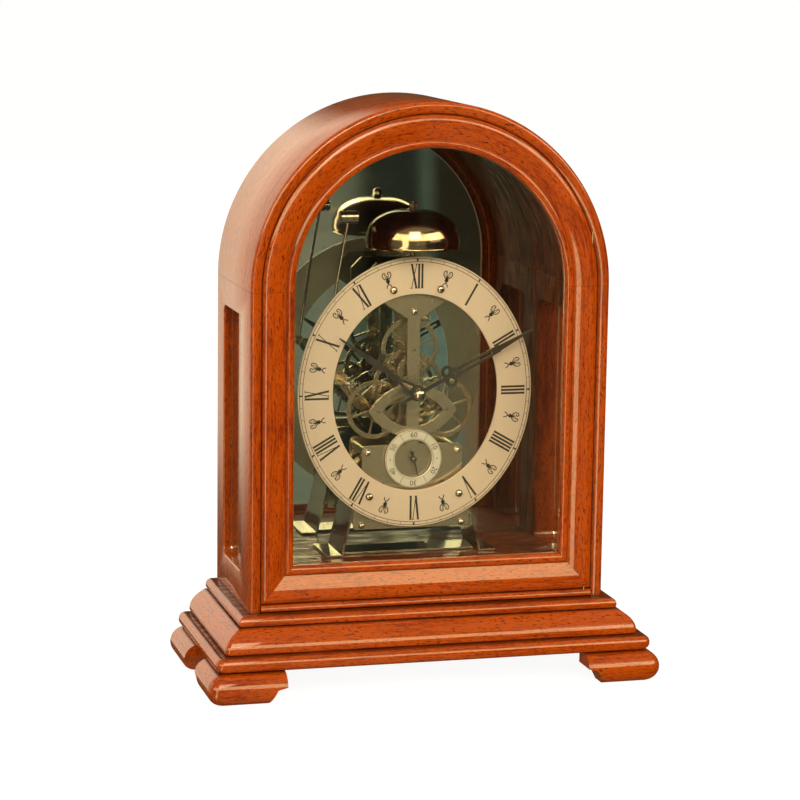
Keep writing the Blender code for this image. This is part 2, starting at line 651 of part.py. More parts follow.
def build_going_train():
    """Motion work, centre, third, fourth, seconds, escape, pallets, balance and going barrel."""
    third_pinion = meshed(CENTRE_TEETH, 0, CENTRE_AT, LEAVES, THIRD_AT)
    fourth_pinion = meshed(CENTRE_TEETH, 0, CENTRE_AT, LEAVES, FOURTH_AT)
    motion = meshed(LEAVES, 0, CENTRE_AT, MOTION_TEETH, MOTION_AT)
    hour = meshed(LEAVES, 0, MOTION_AT, HOUR_TEETH, CENTRE_AT)
    between = meshed(INTERMEDIATE_PINION, 0, CENTRE_AT, WHEEL_TEETH, INTERMEDIATE_AT)
    back = BACK_PLATE + PLATE - GAP
    front = FRONT_PLATE + GAP

    rotor("centre_wheel", CENTRE_AT, BRASS, (30.9 * MM - 1.6 * MM, back, 1.6 * MM), [
        (wheel_outlines(CENTRE_TEETH, CENTRE_MODULE, 0), LAYER_CENTRE, WHEEL),
        ([pinion_teeth(LEAVES, MOTION_MODULE)], LAYER_CANNON, WHEEL),
        ([pinion_teeth(INTERMEDIATE_PINION, WHEEL_MODULE)], LAYER_INTERMEDIATE, WHEEL)])
    rotor("motion_wheel", MOTION_AT, BRASS, (FRONT_PLATE + PLATE + GAP, LAYER_CANNON + 2 * MM, 0.9 * MM), [
        (wheel_outlines(MOTION_TEETH, MOTION_MODULE, motion, 4), LAYER_CANNON, WHEEL),
        ([pinion_teeth(LEAVES, HOUR_MODULE)], LAYER_HOUR, WHEEL)])
    hour_wheel = rotor("hour_wheel", CENTRE_AT, BRASS, (33.2 * MM, LAYER_HOUR + WHEEL, 3.2 * MM), [
        ([wheel_teeth(HOUR_TEETH, HOUR_MODULE, hour)], LAYER_HOUR, WHEEL)])
    drill(hour_wheel, 2.1 * MM, CENTRE_AT)
    rotor("third_wheel", THIRD_AT, BRASS, (front, back, ARBOR), [
        ([pinion_teeth(LEAVES, CENTRE_MODULE, third_pinion)], LAYER_CENTRE - 0.4 * MM, 2 * MM),
        (wheel_outlines(WHEEL_TEETH, THIRD_MODULE, 0), LAYER_THIRD, WHEEL)])
    seconds = meshed(WHEEL_TEETH, 0, THIRD_AT, LEAVES, SECONDS_AT)
    rotor("seconds_arbor", SECONDS_AT, STEEL, (39.6 * MM, back, 0.8 * MM), [
        ([pinion_teeth(LEAVES, THIRD_MODULE, seconds)], LAYER_THIRD - 0.4 * MM, 2 * MM)])
    rotor("fourth_wheel", FOURTH_AT, BRASS, (front, back, ARBOR), [
        ([pinion_teeth(LEAVES, CENTRE_MODULE, fourth_pinion)], LAYER_CENTRE - 0.4 * MM, 2 * MM),
        (wheel_outlines(WHEEL_TEETH, WHEEL_MODULE, 0), LAYER_WHEEL, WHEEL)])
    escape = meshed(WHEEL_TEETH, 0, FOURTH_AT, LEAVES, ESCAPE_AT)
    saw = [point for k in range(ESCAPE_TEETH)
           for point in ((6.5 * MM * cos(2 * pi * k / 15), 6.5 * MM * sin(2 * pi * k / 15)),
                         (4.9 * MM * cos(2 * pi * (k + 0.3) / 15), 4.9 * MM * sin(2 * pi * (k + 0.3) / 15)),
                         (4.9 * MM * cos(2 * pi * (k + 0.8) / 15), 4.9 * MM * sin(2 * pi * (k + 0.8) / 15)))]
    rotor("escape_wheel", ESCAPE_AT, STEEL, (front, back, 0.8 * MM), [
        ([pinion_teeth(LEAVES, WHEEL_MODULE, escape)], LAYER_WHEEL - 0.4 * MM, 2 * MM),
        ([saw] + windows(4, 1.8 * MM, 3.9 * MM, 0.9 * MM), LAYER_ESCAPE, 0.8 * MM)])
    fork = [(-0.7, 9.4), (0.7, 9.4), (1.2, 1.4), (5.4, -3.4), (6.2, -7.0), (5.4, -7.2), (4.0, -4.0),
            (0, -1.6), (-4.0, -4.0), (-5.4, -7.2), (-6.2, -7.0), (-5.4, -3.4), (-1.2, 1.4)]
    rotor("pallet_fork", PALLET_AT, STEEL, (front, back, 0.8 * MM), [
        ([in_metres(fork)], LAYER_ESCAPE, 0.8 * MM)])
    rotor("balance_wheel", BALANCE_AT, BRASS, (front, back, 0.7 * MM), [
        ([disc(8.5 * MM, 32)] + windows(2, 1.4 * MM, 7.2 * MM, 1.1 * MM), LAYER_ESCAPE + 3.4 * MM, 1.4 * MM),
        ([disc(1.6 * MM, 14)], LAYER_ESCAPE, 0.8 * MM)])
    rotor("intermediate_wheel", INTERMEDIATE_AT, BRASS, (front, back, ARBOR), [
        (wheel_outlines(WHEEL_TEETH, WHEEL_MODULE, between), LAYER_INTERMEDIATE, WHEEL)])


def build_strike():
    """The strike wheel, its fly, and the two barrels."""
    back = BACK_PLATE + PLATE - GAP
    rotor("strike_wheel", STRIKE_AT, BRASS, (FRONT_PLATE + GAP, back, ARBOR), [
        (wheel_outlines(WHEEL_TEETH, WHEEL_MODULE, 0), LAYER_WHEEL, WHEEL)])
    fly = meshed(WHEEL_TEETH, 0, STRIKE_AT, LEAVES, FLY_AT)
    vane = [(8 * MM, 0.4 * MM), (-8 * MM, 0.4 * MM), (-8 * MM, -0.4 * MM), (8 * MM, -0.4 * MM)]
    rotor("strike_fly", FLY_AT, STEEL, (52 * MM, back, 0.8 * MM), [
        ([pinion_teeth(LEAVES, WHEEL_MODULE, fly)], LAYER_WHEEL - 0.4 * MM, 2 * MM),
        ([vane], 64 * MM, 8 * MM)])
    for name, side in (("strike", -1), ("going", 1)):
        rotor(f"{name}_barrel", (side * BARREL_X, BARREL_HEIGHT), BRASS, (FRONT_PLATE + GAP, back, 2 * MM), [
            ([wheel_teeth(GREAT_TEETH, GREAT_MODULE)], 54 * MM, 1.4 * MM),
            ([disc(17 * MM, 24)], 55 * MM, 17 * MM)])


def build_hands():
    """Hour, minute and seconds hands, and the polished centre nut."""
    minute = [(-0.9, -14), (0.9, -14), (1.2, 0), (3.4, 19), (3.4, 26), (2.2, 30), (1.9, 60), (0.5, 84.7),
              (-0.5, 84.7), (-1.9, 60), (-2.2, 30), (-3.4, 26), (-3.4, 19), (-1.2, 0)]
    hour = [(1.5, 0), (1.6, 24), (6.5, 30), (6.5, 35), (2.0, 40), (1.2, 55), (0.4, 62.6), (-0.4, 62.6),
            (-1.2, 55), (-2.0, 40), (-6.5, 35), (-6.5, 30), (-1.6, 24), (-1.5, 0)]
    seconds = [(-0.8, -5), (0.8, -5), (0.6, 0), (0.25, 11.5), (-0.25, 11.5), (-0.6, 0)]
    hand("minute_hand", in_metres(minute), 4.2 * MM, 1.9 * MM, 31 * MM, MINUTE_ANGLE, CENTRE_AT)
    hand("hour_hand", in_metres(hour), 5.2 * MM, 3.5 * MM, 33.8 * MM, HOUR_ANGLE, CENTRE_AT)
    hand("seconds_hand", in_metres(seconds), 1.9 * MM, 1.1 * MM, 39.8 * MM, SECONDS_ANGLE, SECONDS_AT)
    dome = [(0, 2.6), (1.5, 2.4), (2.8, 1.5), (3.6, 0), (3.7, -1), (0, -1)]
    turned("hand_nut", in_metres(dome), 16, STEEL, at(0, 27.9 * MM, CENTRE), UPRIGHT)


def build_bell():
    """Bell, its post and nut, and the hammer on its own arbor."""
    outer = [(2.3, 23.6), (9, 23.3), (17, 21.8), (23.5, 18.5), (27.5, 14), (29.5, 9), (30.1, 4), (30.1, 0)]
    inner = [(r - 1.3 if r > 20 else r, z - 1.3) for r, z in outer[:-1]] + [(28.8, 0)]
    rim = at(0, BELL_DEPTH, BELL_RIM)
    turned("bell", in_metres(outer + inner[::-1]), 24, BRONZE, rim, closed=True)
    post = [(0, 29.3), (1.8, 29.3), (1.8, 21.9), (4.5, 21.9), (4.5, 19.9), (1.8, 19.9), (1.8, -36.8),
            (0, -36.8)]
    turned("bell_post", in_metres(post), 12, STEEL, rim)
    nut = [(2.2, 28.6), (2.6, 28.4), (2.8, 26.4), (2.7, 24.6), (3.3, 23.9), (2.2, 23.9)]
    turned("bell_nut", in_metres(nut), 12, STEEL, rim, closed=True)

    hammer = rotor("hammer", HAMMER_AT, STEEL, (HAMMER_DEPTH - 4 * MM, BACK_PLATE + PLATE - GAP, 0.9 * MM), [
        ([disc(3 * MM, 16)], HAMMER_DEPTH - 1.5 * MM, 3 * MM)])
    run, rise = HAMMER_HEAD[0] - HAMMER_AT[0], HAMMER_HEAD[1] - HAMMER_AT[1]
    middle = at((HAMMER_HEAD[0] + HAMMER_AT[0]) / 2, HAMMER_DEPTH, (HAMMER_HEAD[1] + HAMMER_AT[1]) / 2)
    stem = add("hammer_stem", round_bar("stem", 0.8 * MM, hypot(run, rise) - 3 * MM, 10), STEEL, middle,
               (0, atan2(run, rise), radians(7)))
    head = add("hammer_head", round_bar("head", 4 * MM, 11.7 * MM, 20), STEEL,
               at(HAMMER_HEAD[0], HAMMER_DEPTH, HAMMER_HEAD[1]), (0, pi / 2, 0))
    combine(hammer, stem, "UNION")
    combine(hammer, head, "UNION")


build_door(*build_case())
build_base()
build_frame()
build_dial()
build_going_train()
build_strike()
build_hands()
build_bell()
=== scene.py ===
"""Looks of a round-top mantel clock with a skeleton movement, a bell strike and a mirror back.

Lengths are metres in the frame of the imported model. In the sub-assembly classes a place is given as x
across, depth back from the front of the case, and height above the underside of the case.
"""

import json
import logging
from collections.abc import Callable, Sequence
from dataclasses import dataclass
from enum import Enum
from math import atan2, cos, exp, hypot, pi, radians, sin, sqrt, tau

import bmesh
import bpy
from mathutils import Matrix, Vector

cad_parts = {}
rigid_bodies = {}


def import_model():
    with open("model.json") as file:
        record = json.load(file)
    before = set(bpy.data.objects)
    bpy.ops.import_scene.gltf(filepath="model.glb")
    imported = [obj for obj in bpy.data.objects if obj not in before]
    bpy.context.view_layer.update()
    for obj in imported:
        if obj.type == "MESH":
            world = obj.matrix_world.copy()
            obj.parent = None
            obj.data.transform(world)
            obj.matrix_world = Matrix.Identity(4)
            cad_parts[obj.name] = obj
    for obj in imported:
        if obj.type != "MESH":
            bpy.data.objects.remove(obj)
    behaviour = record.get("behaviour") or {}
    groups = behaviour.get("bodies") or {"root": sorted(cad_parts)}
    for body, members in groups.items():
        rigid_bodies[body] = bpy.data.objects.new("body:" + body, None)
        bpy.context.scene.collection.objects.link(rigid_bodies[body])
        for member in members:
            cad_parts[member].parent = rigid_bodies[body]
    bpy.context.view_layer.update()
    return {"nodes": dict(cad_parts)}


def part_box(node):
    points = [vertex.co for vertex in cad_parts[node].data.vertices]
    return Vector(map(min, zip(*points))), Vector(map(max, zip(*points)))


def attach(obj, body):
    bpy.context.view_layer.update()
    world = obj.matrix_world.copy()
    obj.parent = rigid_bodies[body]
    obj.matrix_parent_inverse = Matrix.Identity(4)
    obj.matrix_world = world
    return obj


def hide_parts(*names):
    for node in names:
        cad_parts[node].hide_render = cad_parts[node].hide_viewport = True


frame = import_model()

LOG = logging.getLogger("clock")
MM = 0.001
GAP = 0.3 * MM
UP, FORWARD, BACK, RIGHT = Vector((0, 0, 1)), Vector((0, -1, 0)), Vector((0, 1, 0)), Vector((1, 0, 0))

WALL_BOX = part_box("case_side_left")
HALF_WIDTH = -WALL_BOX[0].x
FRONT = WALL_BOX[0].y
BASE = WALL_BOX[0].z
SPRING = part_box("door_arch")[0].z - BASE
CASE_DEPTH = WALL_BOX[1].y - FRONT

Flat = tuple[float, float]
Loop = Sequence[Vector]


class Slot(Enum):
    """Material slots of the record."""

    WOOD = "wood"
    GLASS = "glass"
    MIRROR = "mirror"
    BOARD = "board"
    NICKEL = "nickel"
    BRASS = "brass"
    STEEL = "steel"
    DIAL = "dial"
    SILVER = "silver"
    BLACK = "black"
    BRONZE = "bronze"


class Lay(Enum):
    """The way the grain of a wooden piece runs."""

    ROUND_THE_ARCH = "round"
    UPRIGHT = "upright"
    ACROSS = "across"
    MITRED = "mitred"


def at(x: float, depth: float, height: float) -> Vector:
    """A point from x, depth behind the case front and height above the case underside."""
    return Vector((x, FRONT + depth, BASE + height))


def millimetres(points: Sequence[Flat]) -> list[Flat]:
    """Points drawn in millimetres, in metres."""
    return [(a * MM, b * MM) for a, b in points]


def linked(name: str, data: bpy.types.ID) -> bpy.types.Object:
    """A new object in the scene."""
    thing = bpy.data.objects.new(name, data)
    bpy.context.scene.collection.objects.link(thing)
    return thing


def around(angle: float) -> tuple[Vector, Vector]:
    """Directions out and across, seen from the front, at a clockwise angle from the top."""
    return Vector((sin(angle), cos(angle))), Vector((cos(angle), -sin(angle)))


def final_mesh(thing: bpy.types.Object) -> bpy.types.Mesh:
    """An object's mesh with its modifiers in it."""
    bpy.context.view_layer.update()
    return bpy.data.meshes.new_from_object(thing.evaluated_get(bpy.context.evaluated_depsgraph_get()))


# Shader nodes


def preset(node: bpy.types.Node, values: dict[str, object]) -> None:
    """Sets a node's inputs by name."""
    for key, value in values.items():
        node.inputs[key].default_value = value


class Sheet:
    """Short calls that add nodes to one node tree."""

    def __init__(self, tree: bpy.types.NodeTree) -> None:
        """Keeps the tree."""
        self.tree = tree

    def node(self, kind: str, **settings: object) -> bpy.types.Node:
        """Adds a node.

        Args:
            kind: the node's type without the ShaderNode prefix.
            settings: attributes to set on it.

        Returns:
            The node.
        """
        made = self.tree.nodes.new(kind if kind.startswith("Node") else "ShaderNode" + kind)
        for key, value in settings.items():
            setattr(made, key, value)
        return made

    def feed(self, socket: bpy.types.NodeSocket, value: object) -> None:
        """Links a socket to another, or sets its value."""
        if isinstance(value, bpy.types.NodeSocket):
            self.tree.links.new(value, socket)
        elif value is not None:
            socket.default_value = value

    def math(self, operation: str, a: object, b: object = None, clamp: bool = False) -> bpy.types.NodeSocket:
        """The result of a Math node."""
        made = self.node("Math", operation=operation, use_clamp=clamp)
        self.feed(made.inputs[0], a)
        self.feed(made.inputs[1], b)
        return made.outputs[0]

    def times(self, *values: object) -> bpy.types.NodeSocket:
        """The product of two or more values."""
        made = values[0]
        for value in values[1:]:
            made = self.math("MULTIPLY", made, value)
        return made

    def span(self, value: object, low: float, high: float, to_low: float = 0.0,
             to_high: float = 1.0) -> bpy.types.NodeSocket:
        """A smooth step.

        Args:
            value: the number to map.
            low: where the step starts.
            high: where it ends.
            to_low: what it gives before low.
            to_high: what it gives after high.

        Returns:
            The mapped number.
        """
        made = self.node("MapRange", interpolation_type="SMOOTHSTEP")
        for socket, number in zip(made.inputs, (value, low, high, to_low, to_high)):
            self.feed(socket, number)
        return made.outputs[0]

    def mix(self, share: object, a: object, b: object, blend: str = "MIX") -> bpy.types.NodeSocket:
        """A colour between a and b."""
        made = self.node("Mix", data_type="RGBA", blend_type=blend)
        self.feed(made.inputs[0], share)
        self.feed(made.inputs[6], a)
        self.feed(made.inputs[7], b)
        return made.outputs[2]

    def ramp(self, value: object, stops: Sequence[tuple[float, tuple]]) -> bpy.types.NodeSocket:
        """A colour ramp.

        Args:
            value: the number that runs along it.
            stops: positions and linear colours.

        Returns:
            The colour.
        """
        made = self.node("ValToRGB")
        elements = made.color_ramp.elements
        for position, colour in stops[2:]:
            elements.new(position)
        for element, (position, colour) in zip(elements, sorted(stops)):
            element.position = position
            element.color = (*colour, 1)
        self.feed(made.inputs[0], value)
        return made.outputs[0]

    def stretch(self, vector: object, scale: tuple) -> bpy.types.NodeSocket:
        """A vector multiplied part by part."""
        made = self.node("VectorMath", operation="MULTIPLY")
        self.feed(made.inputs[0], vector)
        self.feed(made.inputs[1], scale)
        return made.outputs[0]

    def noise(self, vector: object, scale: object, detail: float = 3.0, rough: float = 0.55,
              twist: float = 0.0) -> bpy.types.NodeSocket:
        """The factor of a noise texture."""
        made = self.node("TexNoise")
        for key, value in (("Vector", vector), ("Scale", scale), ("Detail", detail), ("Roughness", rough),
                           ("Distortion", twist)):
            self.feed(made.inputs[key], value)
        return made.outputs["Fac"]

    def bump(self, shader: bpy.types.Node, height: bpy.types.NodeSocket, depth: float) -> None:
        """Raises a surface.

        Args:
            shader: the shader of the surface.
            height: what raises it.
            depth: how far, in metres.
        """
        made = self.node("Bump")
        preset(made, {"Strength": 0.6, "Distance": depth})
        self.feed(made.inputs["Height"], height)
        self.feed(shader.inputs["Normal"], made.outputs[0])


def new_group(name: str, inputs: Sequence[tuple], outputs: Sequence[tuple]) -> tuple:
    """An empty shader node group.

    Args:
        name: its name.
        inputs: name, socket type and default of each input.
        outputs: name and socket type of each output.

    Returns:
        Its sheet, the input node and the output node.
    """
    tree = bpy.data.node_groups.new(name, "ShaderNodeTree")
    for label, kind, default in inputs:
        tree.interface.new_socket(name=label, in_out="INPUT", socket_type=kind).default_value = default
    for label, kind in outputs:
        tree.interface.new_socket(name=label, in_out="OUTPUT", socket_type=kind)
    sheet = Sheet(tree)
    return sheet, sheet.node("NodeGroupInput"), sheet.node("NodeGroupOutput")


def wood_grain_group() -> bpy.types.NodeTree:
    """Stretched grain: broad figure, fine streaks, short dark pores, and painted shade darkening the quirks,
    joints and hollows.

    Returns:
        The group.
    """
    sheet, given, made = new_group(
        "wood_grain",
        [("Light", "NodeSocketColor", (1, 1, 1, 1)), ("Middle", "NodeSocketColor", (0.5, 0.5, 0.5, 1)),
         ("Dark", "NodeSocketColor", (0, 0, 0, 1)), ("Figure", "NodeSocketFloat", 1.0),
         ("Pores", "NodeSocketFloat", 1.0)],
        [("Color", "NodeSocketColor"), ("Mask", "NodeSocketFloat"), ("Height", "NodeSocketFloat")])
    grain = sheet.node("Attribute", attribute_name="grain").outputs["Vector"]
    # A mesh attribute gives the share of painted shade at each point, from 0 to 1.
    stain = sheet.node("Attribute", attribute_name="stain").outputs["Fac"]
    broad = sheet.noise(sheet.stretch(grain, (14, 75, 75)), 1.0, 4, 0.55, 0.7)
    streak = sheet.noise(sheet.stretch(grain, (55, 620, 620)), 1.0, 5, 0.66, 0.3)
    fibre = sheet.noise(sheet.stretch(grain, (240, 2300, 2300)), 1.0, 3, 0.62)
    speck = sheet.noise(sheet.stretch(grain, (300, 1500, 1500)), 1.0, 2, 0.5)
    figure = sheet.times(sheet.math("SUBTRACT", broad, 0.5), given.outputs["Figure"])
    tone = sheet.math("ADD", sheet.times(figure, 1.15), sheet.times(streak, 1.1))
    tone = sheet.math("ADD", tone, fibre)
    body = sheet.mix(sheet.span(tone, 0.42, 0.78), given.outputs["Dark"], given.outputs["Middle"])
    body = sheet.mix(sheet.span(tone, 0.72, 1.12), body, given.outputs["Light"])
    pore = sheet.math("MULTIPLY", sheet.span(speck, 0.57, 0.64), given.outputs["Pores"], True)
    pore = sheet.math("MULTIPLY", pore, sheet.span(broad, 0.35, 0.6, 0.35, 1.0), True)
    body = sheet.mix(sheet.times(pore, 0.85), body, (0.035, 0.005, 0.001, 1))
    # Painted shade: the colour is pulled towards near black where the attribute is high, a little unevenly.
    uneven = sheet.noise(sheet.stretch(grain, (60, 200, 200)), 1.0, 2)
    shade_share = sheet.math("MULTIPLY", stain, sheet.span(uneven, 0.3, 0.7, 0.75, 1.0), True)
    body = sheet.mix(shade_share, body, (0.010, 0.0025, 0.001, 1))
    sheet.feed(made.inputs["Color"], body)
    # The mask holds pores and painted shade; the wood is rougher and less glossy there.
    sheet.feed(made.inputs["Mask"], sheet.math("MAXIMUM", sheet.times(pore, 0.3), shade_share))
    sheet.feed(made.inputs["Height"], sheet.math("SUBTRACT", sheet.times(streak, 0.25), pore))
    return sheet.tree


def brushing_group() -> bpy.types.NodeTree:
    """Fine parallel or circular brushing, with handling marks.

    Returns:
        The group.
    """
    sheet, given, made = new_group(
        "brushing",
        [("Color", "NodeSocketColor", (0.8, 0.8, 0.8, 1)), ("Roughness", "NodeSocketFloat", 0.25),
         ("Along", "NodeSocketVector", (60.0, 60.0, 6000.0)), ("Marks", "NodeSocketFloat", 0.5)],
        [("Color", "NodeSocketColor"), ("Roughness", "NodeSocketFloat"), ("Height", "NodeSocketFloat")])
    place = sheet.node("TexCoord").outputs["Object"]
    lines = sheet.noise(sheet.stretch(place, given.outputs["Along"]), 1.0, 3, 0.6)
    film = sheet.noise(place, 85.0, 4, 0.6, 0.6)
    dust = sheet.noise(place, 1900.0, 2, 0.5)
    marks = given.outputs["Marks"]
    tone = sheet.times(sheet.math("SUBTRACT", lines, 0.5), 0.20)
    tarnish = sheet.times(sheet.span(film, 0.42, 0.75), sheet.times(marks, 0.55))
    colour = sheet.mix(sheet.math("ADD", 0.06, tone, True), given.outputs["Color"], (0.05, 0.04, 0.03, 1))
    colour = sheet.mix(tarnish, colour, (0.16, 0.11, 0.06, 1), "MULTIPLY")
    sheet.feed(made.inputs["Color"], colour)
    rough = sheet.math("ADD", given.outputs["Roughness"], sheet.times(tone, 0.5))
    rough = sheet.math("ADD", rough, sheet.times(sheet.span(film, 0.45, 0.7), sheet.times(marks, 0.16)))
    rough = sheet.math("ADD", rough, sheet.span(dust, 0.70, 0.76, 0.0, 0.06), True)
    sheet.feed(made.inputs["Roughness"], rough)
    sheet.feed(made.inputs["Height"], lines)
    return sheet.tree


@dataclass(frozen=True)
class Finish:
    """What every finish shares: its slot and a fresh material."""

    slot: Slot

    def fresh(self) -> tuple[bpy.types.Material, Sheet, bpy.types.Node]:
        """A material, its sheet and its Principled shader."""
        material = bpy.data.materials.new(self.slot.value)
        material.use_nodes = True
        sheet = Sheet(material.node_tree)
        return material, sheet, material.node_tree.nodes["Principled BSDF"]


@dataclass(frozen=True)
class WoodFinish(Finish):
    """Stained hardwood under lacquer."""

    light: tuple
    middle: tuple
    dark: tuple
    figure: float
    pores: float
    coat: float
    roughness: float

    def make(self, group: bpy.types.NodeTree) -> bpy.types.Material:
        """The material, made with the wood grain group."""
        material, sheet, shader = self.fresh()
        grain = sheet.node("Group", node_tree=group)
        preset(grain, {"Light": (*self.light, 1), "Middle": (*self.middle, 1), "Dark": (*self.dark, 1),
                       "Figure": self.figure, "Pores": self.pores})
        mask = grain.outputs["Mask"]
        sheet.feed(shader.inputs["Base Color"], grain.outputs["Color"])
        sheet.feed(shader.inputs["Roughness"], sheet.math("ADD", self.roughness, sheet.times(mask, 0.25)))
        coat = sheet.times(self.coat, sheet.span(mask, 0.5, 0.9, 1.0, 0.12))
        sheet.feed(shader.inputs["Coat Weight"], coat)
        preset(shader, {"Coat Roughness": 0.035, "Coat IOR": 1.6, "Specular IOR Level": 0.05})
        sheet.bump(shader, grain.outputs["Height"], 0.06 * MM)
        return material


@dataclass(frozen=True)
class MetalFinish(Finish):
    """Polished, brushed or lacquered metal."""

    colour: tuple
    roughness: float
    marks: float = 0.5
    along: tuple = (60.0, 60.0, 6000.0)
    metallic: float = 1.0

    def make(self, group: bpy.types.NodeTree) -> bpy.types.Material:
        """The material, made with the brushing group."""
        material, sheet, shader = self.fresh()
        brush = sheet.node("Group", node_tree=group)
        preset(brush, {"Color": (*self.colour, 1), "Roughness": self.roughness, "Along": self.along,
                       "Marks": self.marks})
        sheet.feed(shader.inputs["Base Color"], brush.outputs["Color"])
        sheet.feed(shader.inputs["Roughness"], brush.outputs["Roughness"])
        shader.inputs["Metallic"].default_value = self.metallic
        sheet.bump(shader, brush.outputs["Height"], 0.004 * MM)
        return material


@dataclass(frozen=True)
class GlassFinish(Finish):
    """Clear glass that lets lamp light through."""

    colour: tuple

    def make(self) -> bpy.types.Material:
        """The material."""
        material, sheet, shader = self.fresh()
        preset(shader, {"Base Color": (*self.colour, 1), "Transmission Weight": 1.0, "IOR": 1.46})
        place = sheet.node("TexCoord").outputs["Object"]
        smudge = sheet.span(sheet.noise(place, 26.0, 4, 0.6, 0.8), 0.55, 0.8, 0.0, 0.05)
        sheet.feed(shader.inputs["Roughness"], smudge)
        path = sheet.node("LightPath")
        clear = sheet.node("BsdfTransparent")
        clear.inputs[0].default_value = (*self.colour, 1)
        mixed = sheet.node("MixShader")
        share = sheet.math("MAXIMUM", path.outputs["Is Shadow Ray"], path.outputs["Is Diffuse Ray"])
        sheet.feed(mixed.inputs[0], share)
        sheet.feed(mixed.inputs[1], shader.outputs[0])
        sheet.feed(mixed.inputs[2], clear.outputs[0])
        sheet.feed(material.node_tree.nodes["Material Output"].inputs[0], mixed.outputs[0])
        return material


class Palette:
    """Every finish of the clock, made once."""

    def __init__(self) -> None:
        """Makes the groups and the materials."""
        grain, brush = wood_grain_group(), brushing_group()
        metals = (
            MetalFinish(Slot.NICKEL, (0.66, 0.57, 0.43), 0.24, 0.08, (60.0, 60.0, 3200.0)),
            MetalFinish(Slot.BRASS, (0.50, 0.41, 0.27), 0.24, 0.12, (300.0, 300.0, 300.0)),
            MetalFinish(Slot.STEEL, (0.56, 0.50, 0.41), 0.14, 0.4, (1200.0, 300.0, 1200.0)),
            MetalFinish(Slot.DIAL, (0.80, 0.67, 0.57), 0.45, 0.05, (4200.0, 100.0, 90.0), 0.15),
            MetalFinish(Slot.SILVER, (0.86, 0.83, 0.77), 0.34, 0.15, (3800.0, 100.0, 900.0), 0.5),
            MetalFinish(Slot.BLACK, (0.014, 0.011, 0.009), 0.42, 0.3, (900.0, 900.0, 900.0), 0.0),
            MetalFinish(Slot.BRONZE, (0.46, 0.36, 0.25), 0.10, 0.5, (90.0, 90.0, 2600.0)),
            MetalFinish(Slot.MIRROR, (0.62, 0.70, 0.66), 0.015, 0.12, (40.0, 40.0, 40.0)))
        self.materials = {f.slot: f.make(brush) for f in metals}
        wood = WoodFinish(Slot.WOOD, (0.45, 0.074, 0.0025), (0.205, 0.021, 0.001), (0.04, 0.0028, 0.0003),
                          figure=1.0, pores=1.0, coat=1.0, roughness=0.38)
        board = WoodFinish(Slot.BOARD, (0.13, 0.065, 0.03), (0.08, 0.038, 0.018), (0.04, 0.018, 0.009),
                           figure=0.6, pores=0.5, coat=0.15, roughness=0.5)
        self.materials[Slot.WOOD] = wood.make(grain)
        self.materials[Slot.BOARD] = board.make(grain)
        self.materials[Slot.GLASS] = GlassFinish(Slot.GLASS, (0.955, 0.975, 0.965)).make()

    def __getitem__(self, slot: Slot) -> bpy.types.Material:
        """The material of a slot."""
        return self.materials[slot]


# Meshes


def smoothed(points: Sequence[Flat], steps: int = 4) -> list[Flat]:
    """A smooth line through points.

    Args:
        points: what it passes through.
        steps: how many pieces lie between two of them.

    Returns:
        The finer line, with the same ends.
    """
    if len(points) < 3:
        return list(points)
    ends = [Vector(p) for p in points]
    ends = [2 * ends[0] - ends[1], *ends, 2 * ends[-1] - ends[-2]]
    line = []
    for a, b, c, d in zip(ends, ends[1:], ends[2:], ends[3:]):
        for k in range(steps):
            t = k / steps
            curve = (2 * a - 5 * b + 4 * c - d) * t * t + (3 * b - a - 3 * c + d) * t ** 3
            line.append(tuple(0.5 * (2 * b + (c - a) * t + curve)))
    return [*line, tuple(points[-1])]


def joined_runs(runs: Sequence[Sequence[Flat]], steps: int = 4) -> list[Flat]:
    """A section whose runs are smooth and meet at sharp corners."""
    return [point for run in runs for point in smoothed(run, steps)]


def circle(radius: float, count: int, centre: Flat = (0, 0), start: float = 0.0) -> list[Flat]:
    """Points on a circle."""
    angles = [start + tau * k / count for k in range(count)]
    return [(centre[0] + radius * cos(a), centre[1] + radius * sin(a)) for a in angles]


def rounded_box(width: float, height: float, radius: float, steps: int = 8) -> list[Flat]:
    """A rectangle with round corners, about its middle.

    Args:
        width: its size across.
        height: its size up.
        radius: of the corners.
        steps: pieces in each corner.

    Returns:
        Its points, anticlockwise.
    """
    points = []
    for corner, (sx, sy) in enumerate(((1, 1), (-1, 1), (-1, -1), (1, -1))):
        for k in range(steps + 1):
            a = pi / 2 * (corner + k / steps)
            points.append((sx * (width / 2 - radius) + radius * cos(a),
                           sy * (height / 2 - radius) + radius * sin(a)))
    return points


def arch_outline(half_width: float, foot: float, steps: int = 72) -> list[Flat]:
    """A round-topped panel about the middle of its arch."""
    arc = [(half_width * cos(pi * k / steps), half_width * sin(pi * k / steps)) for k in range(steps + 1)]
    return [*arc, (-half_width, foot - SPRING), (half_width, foot - SPRING)]


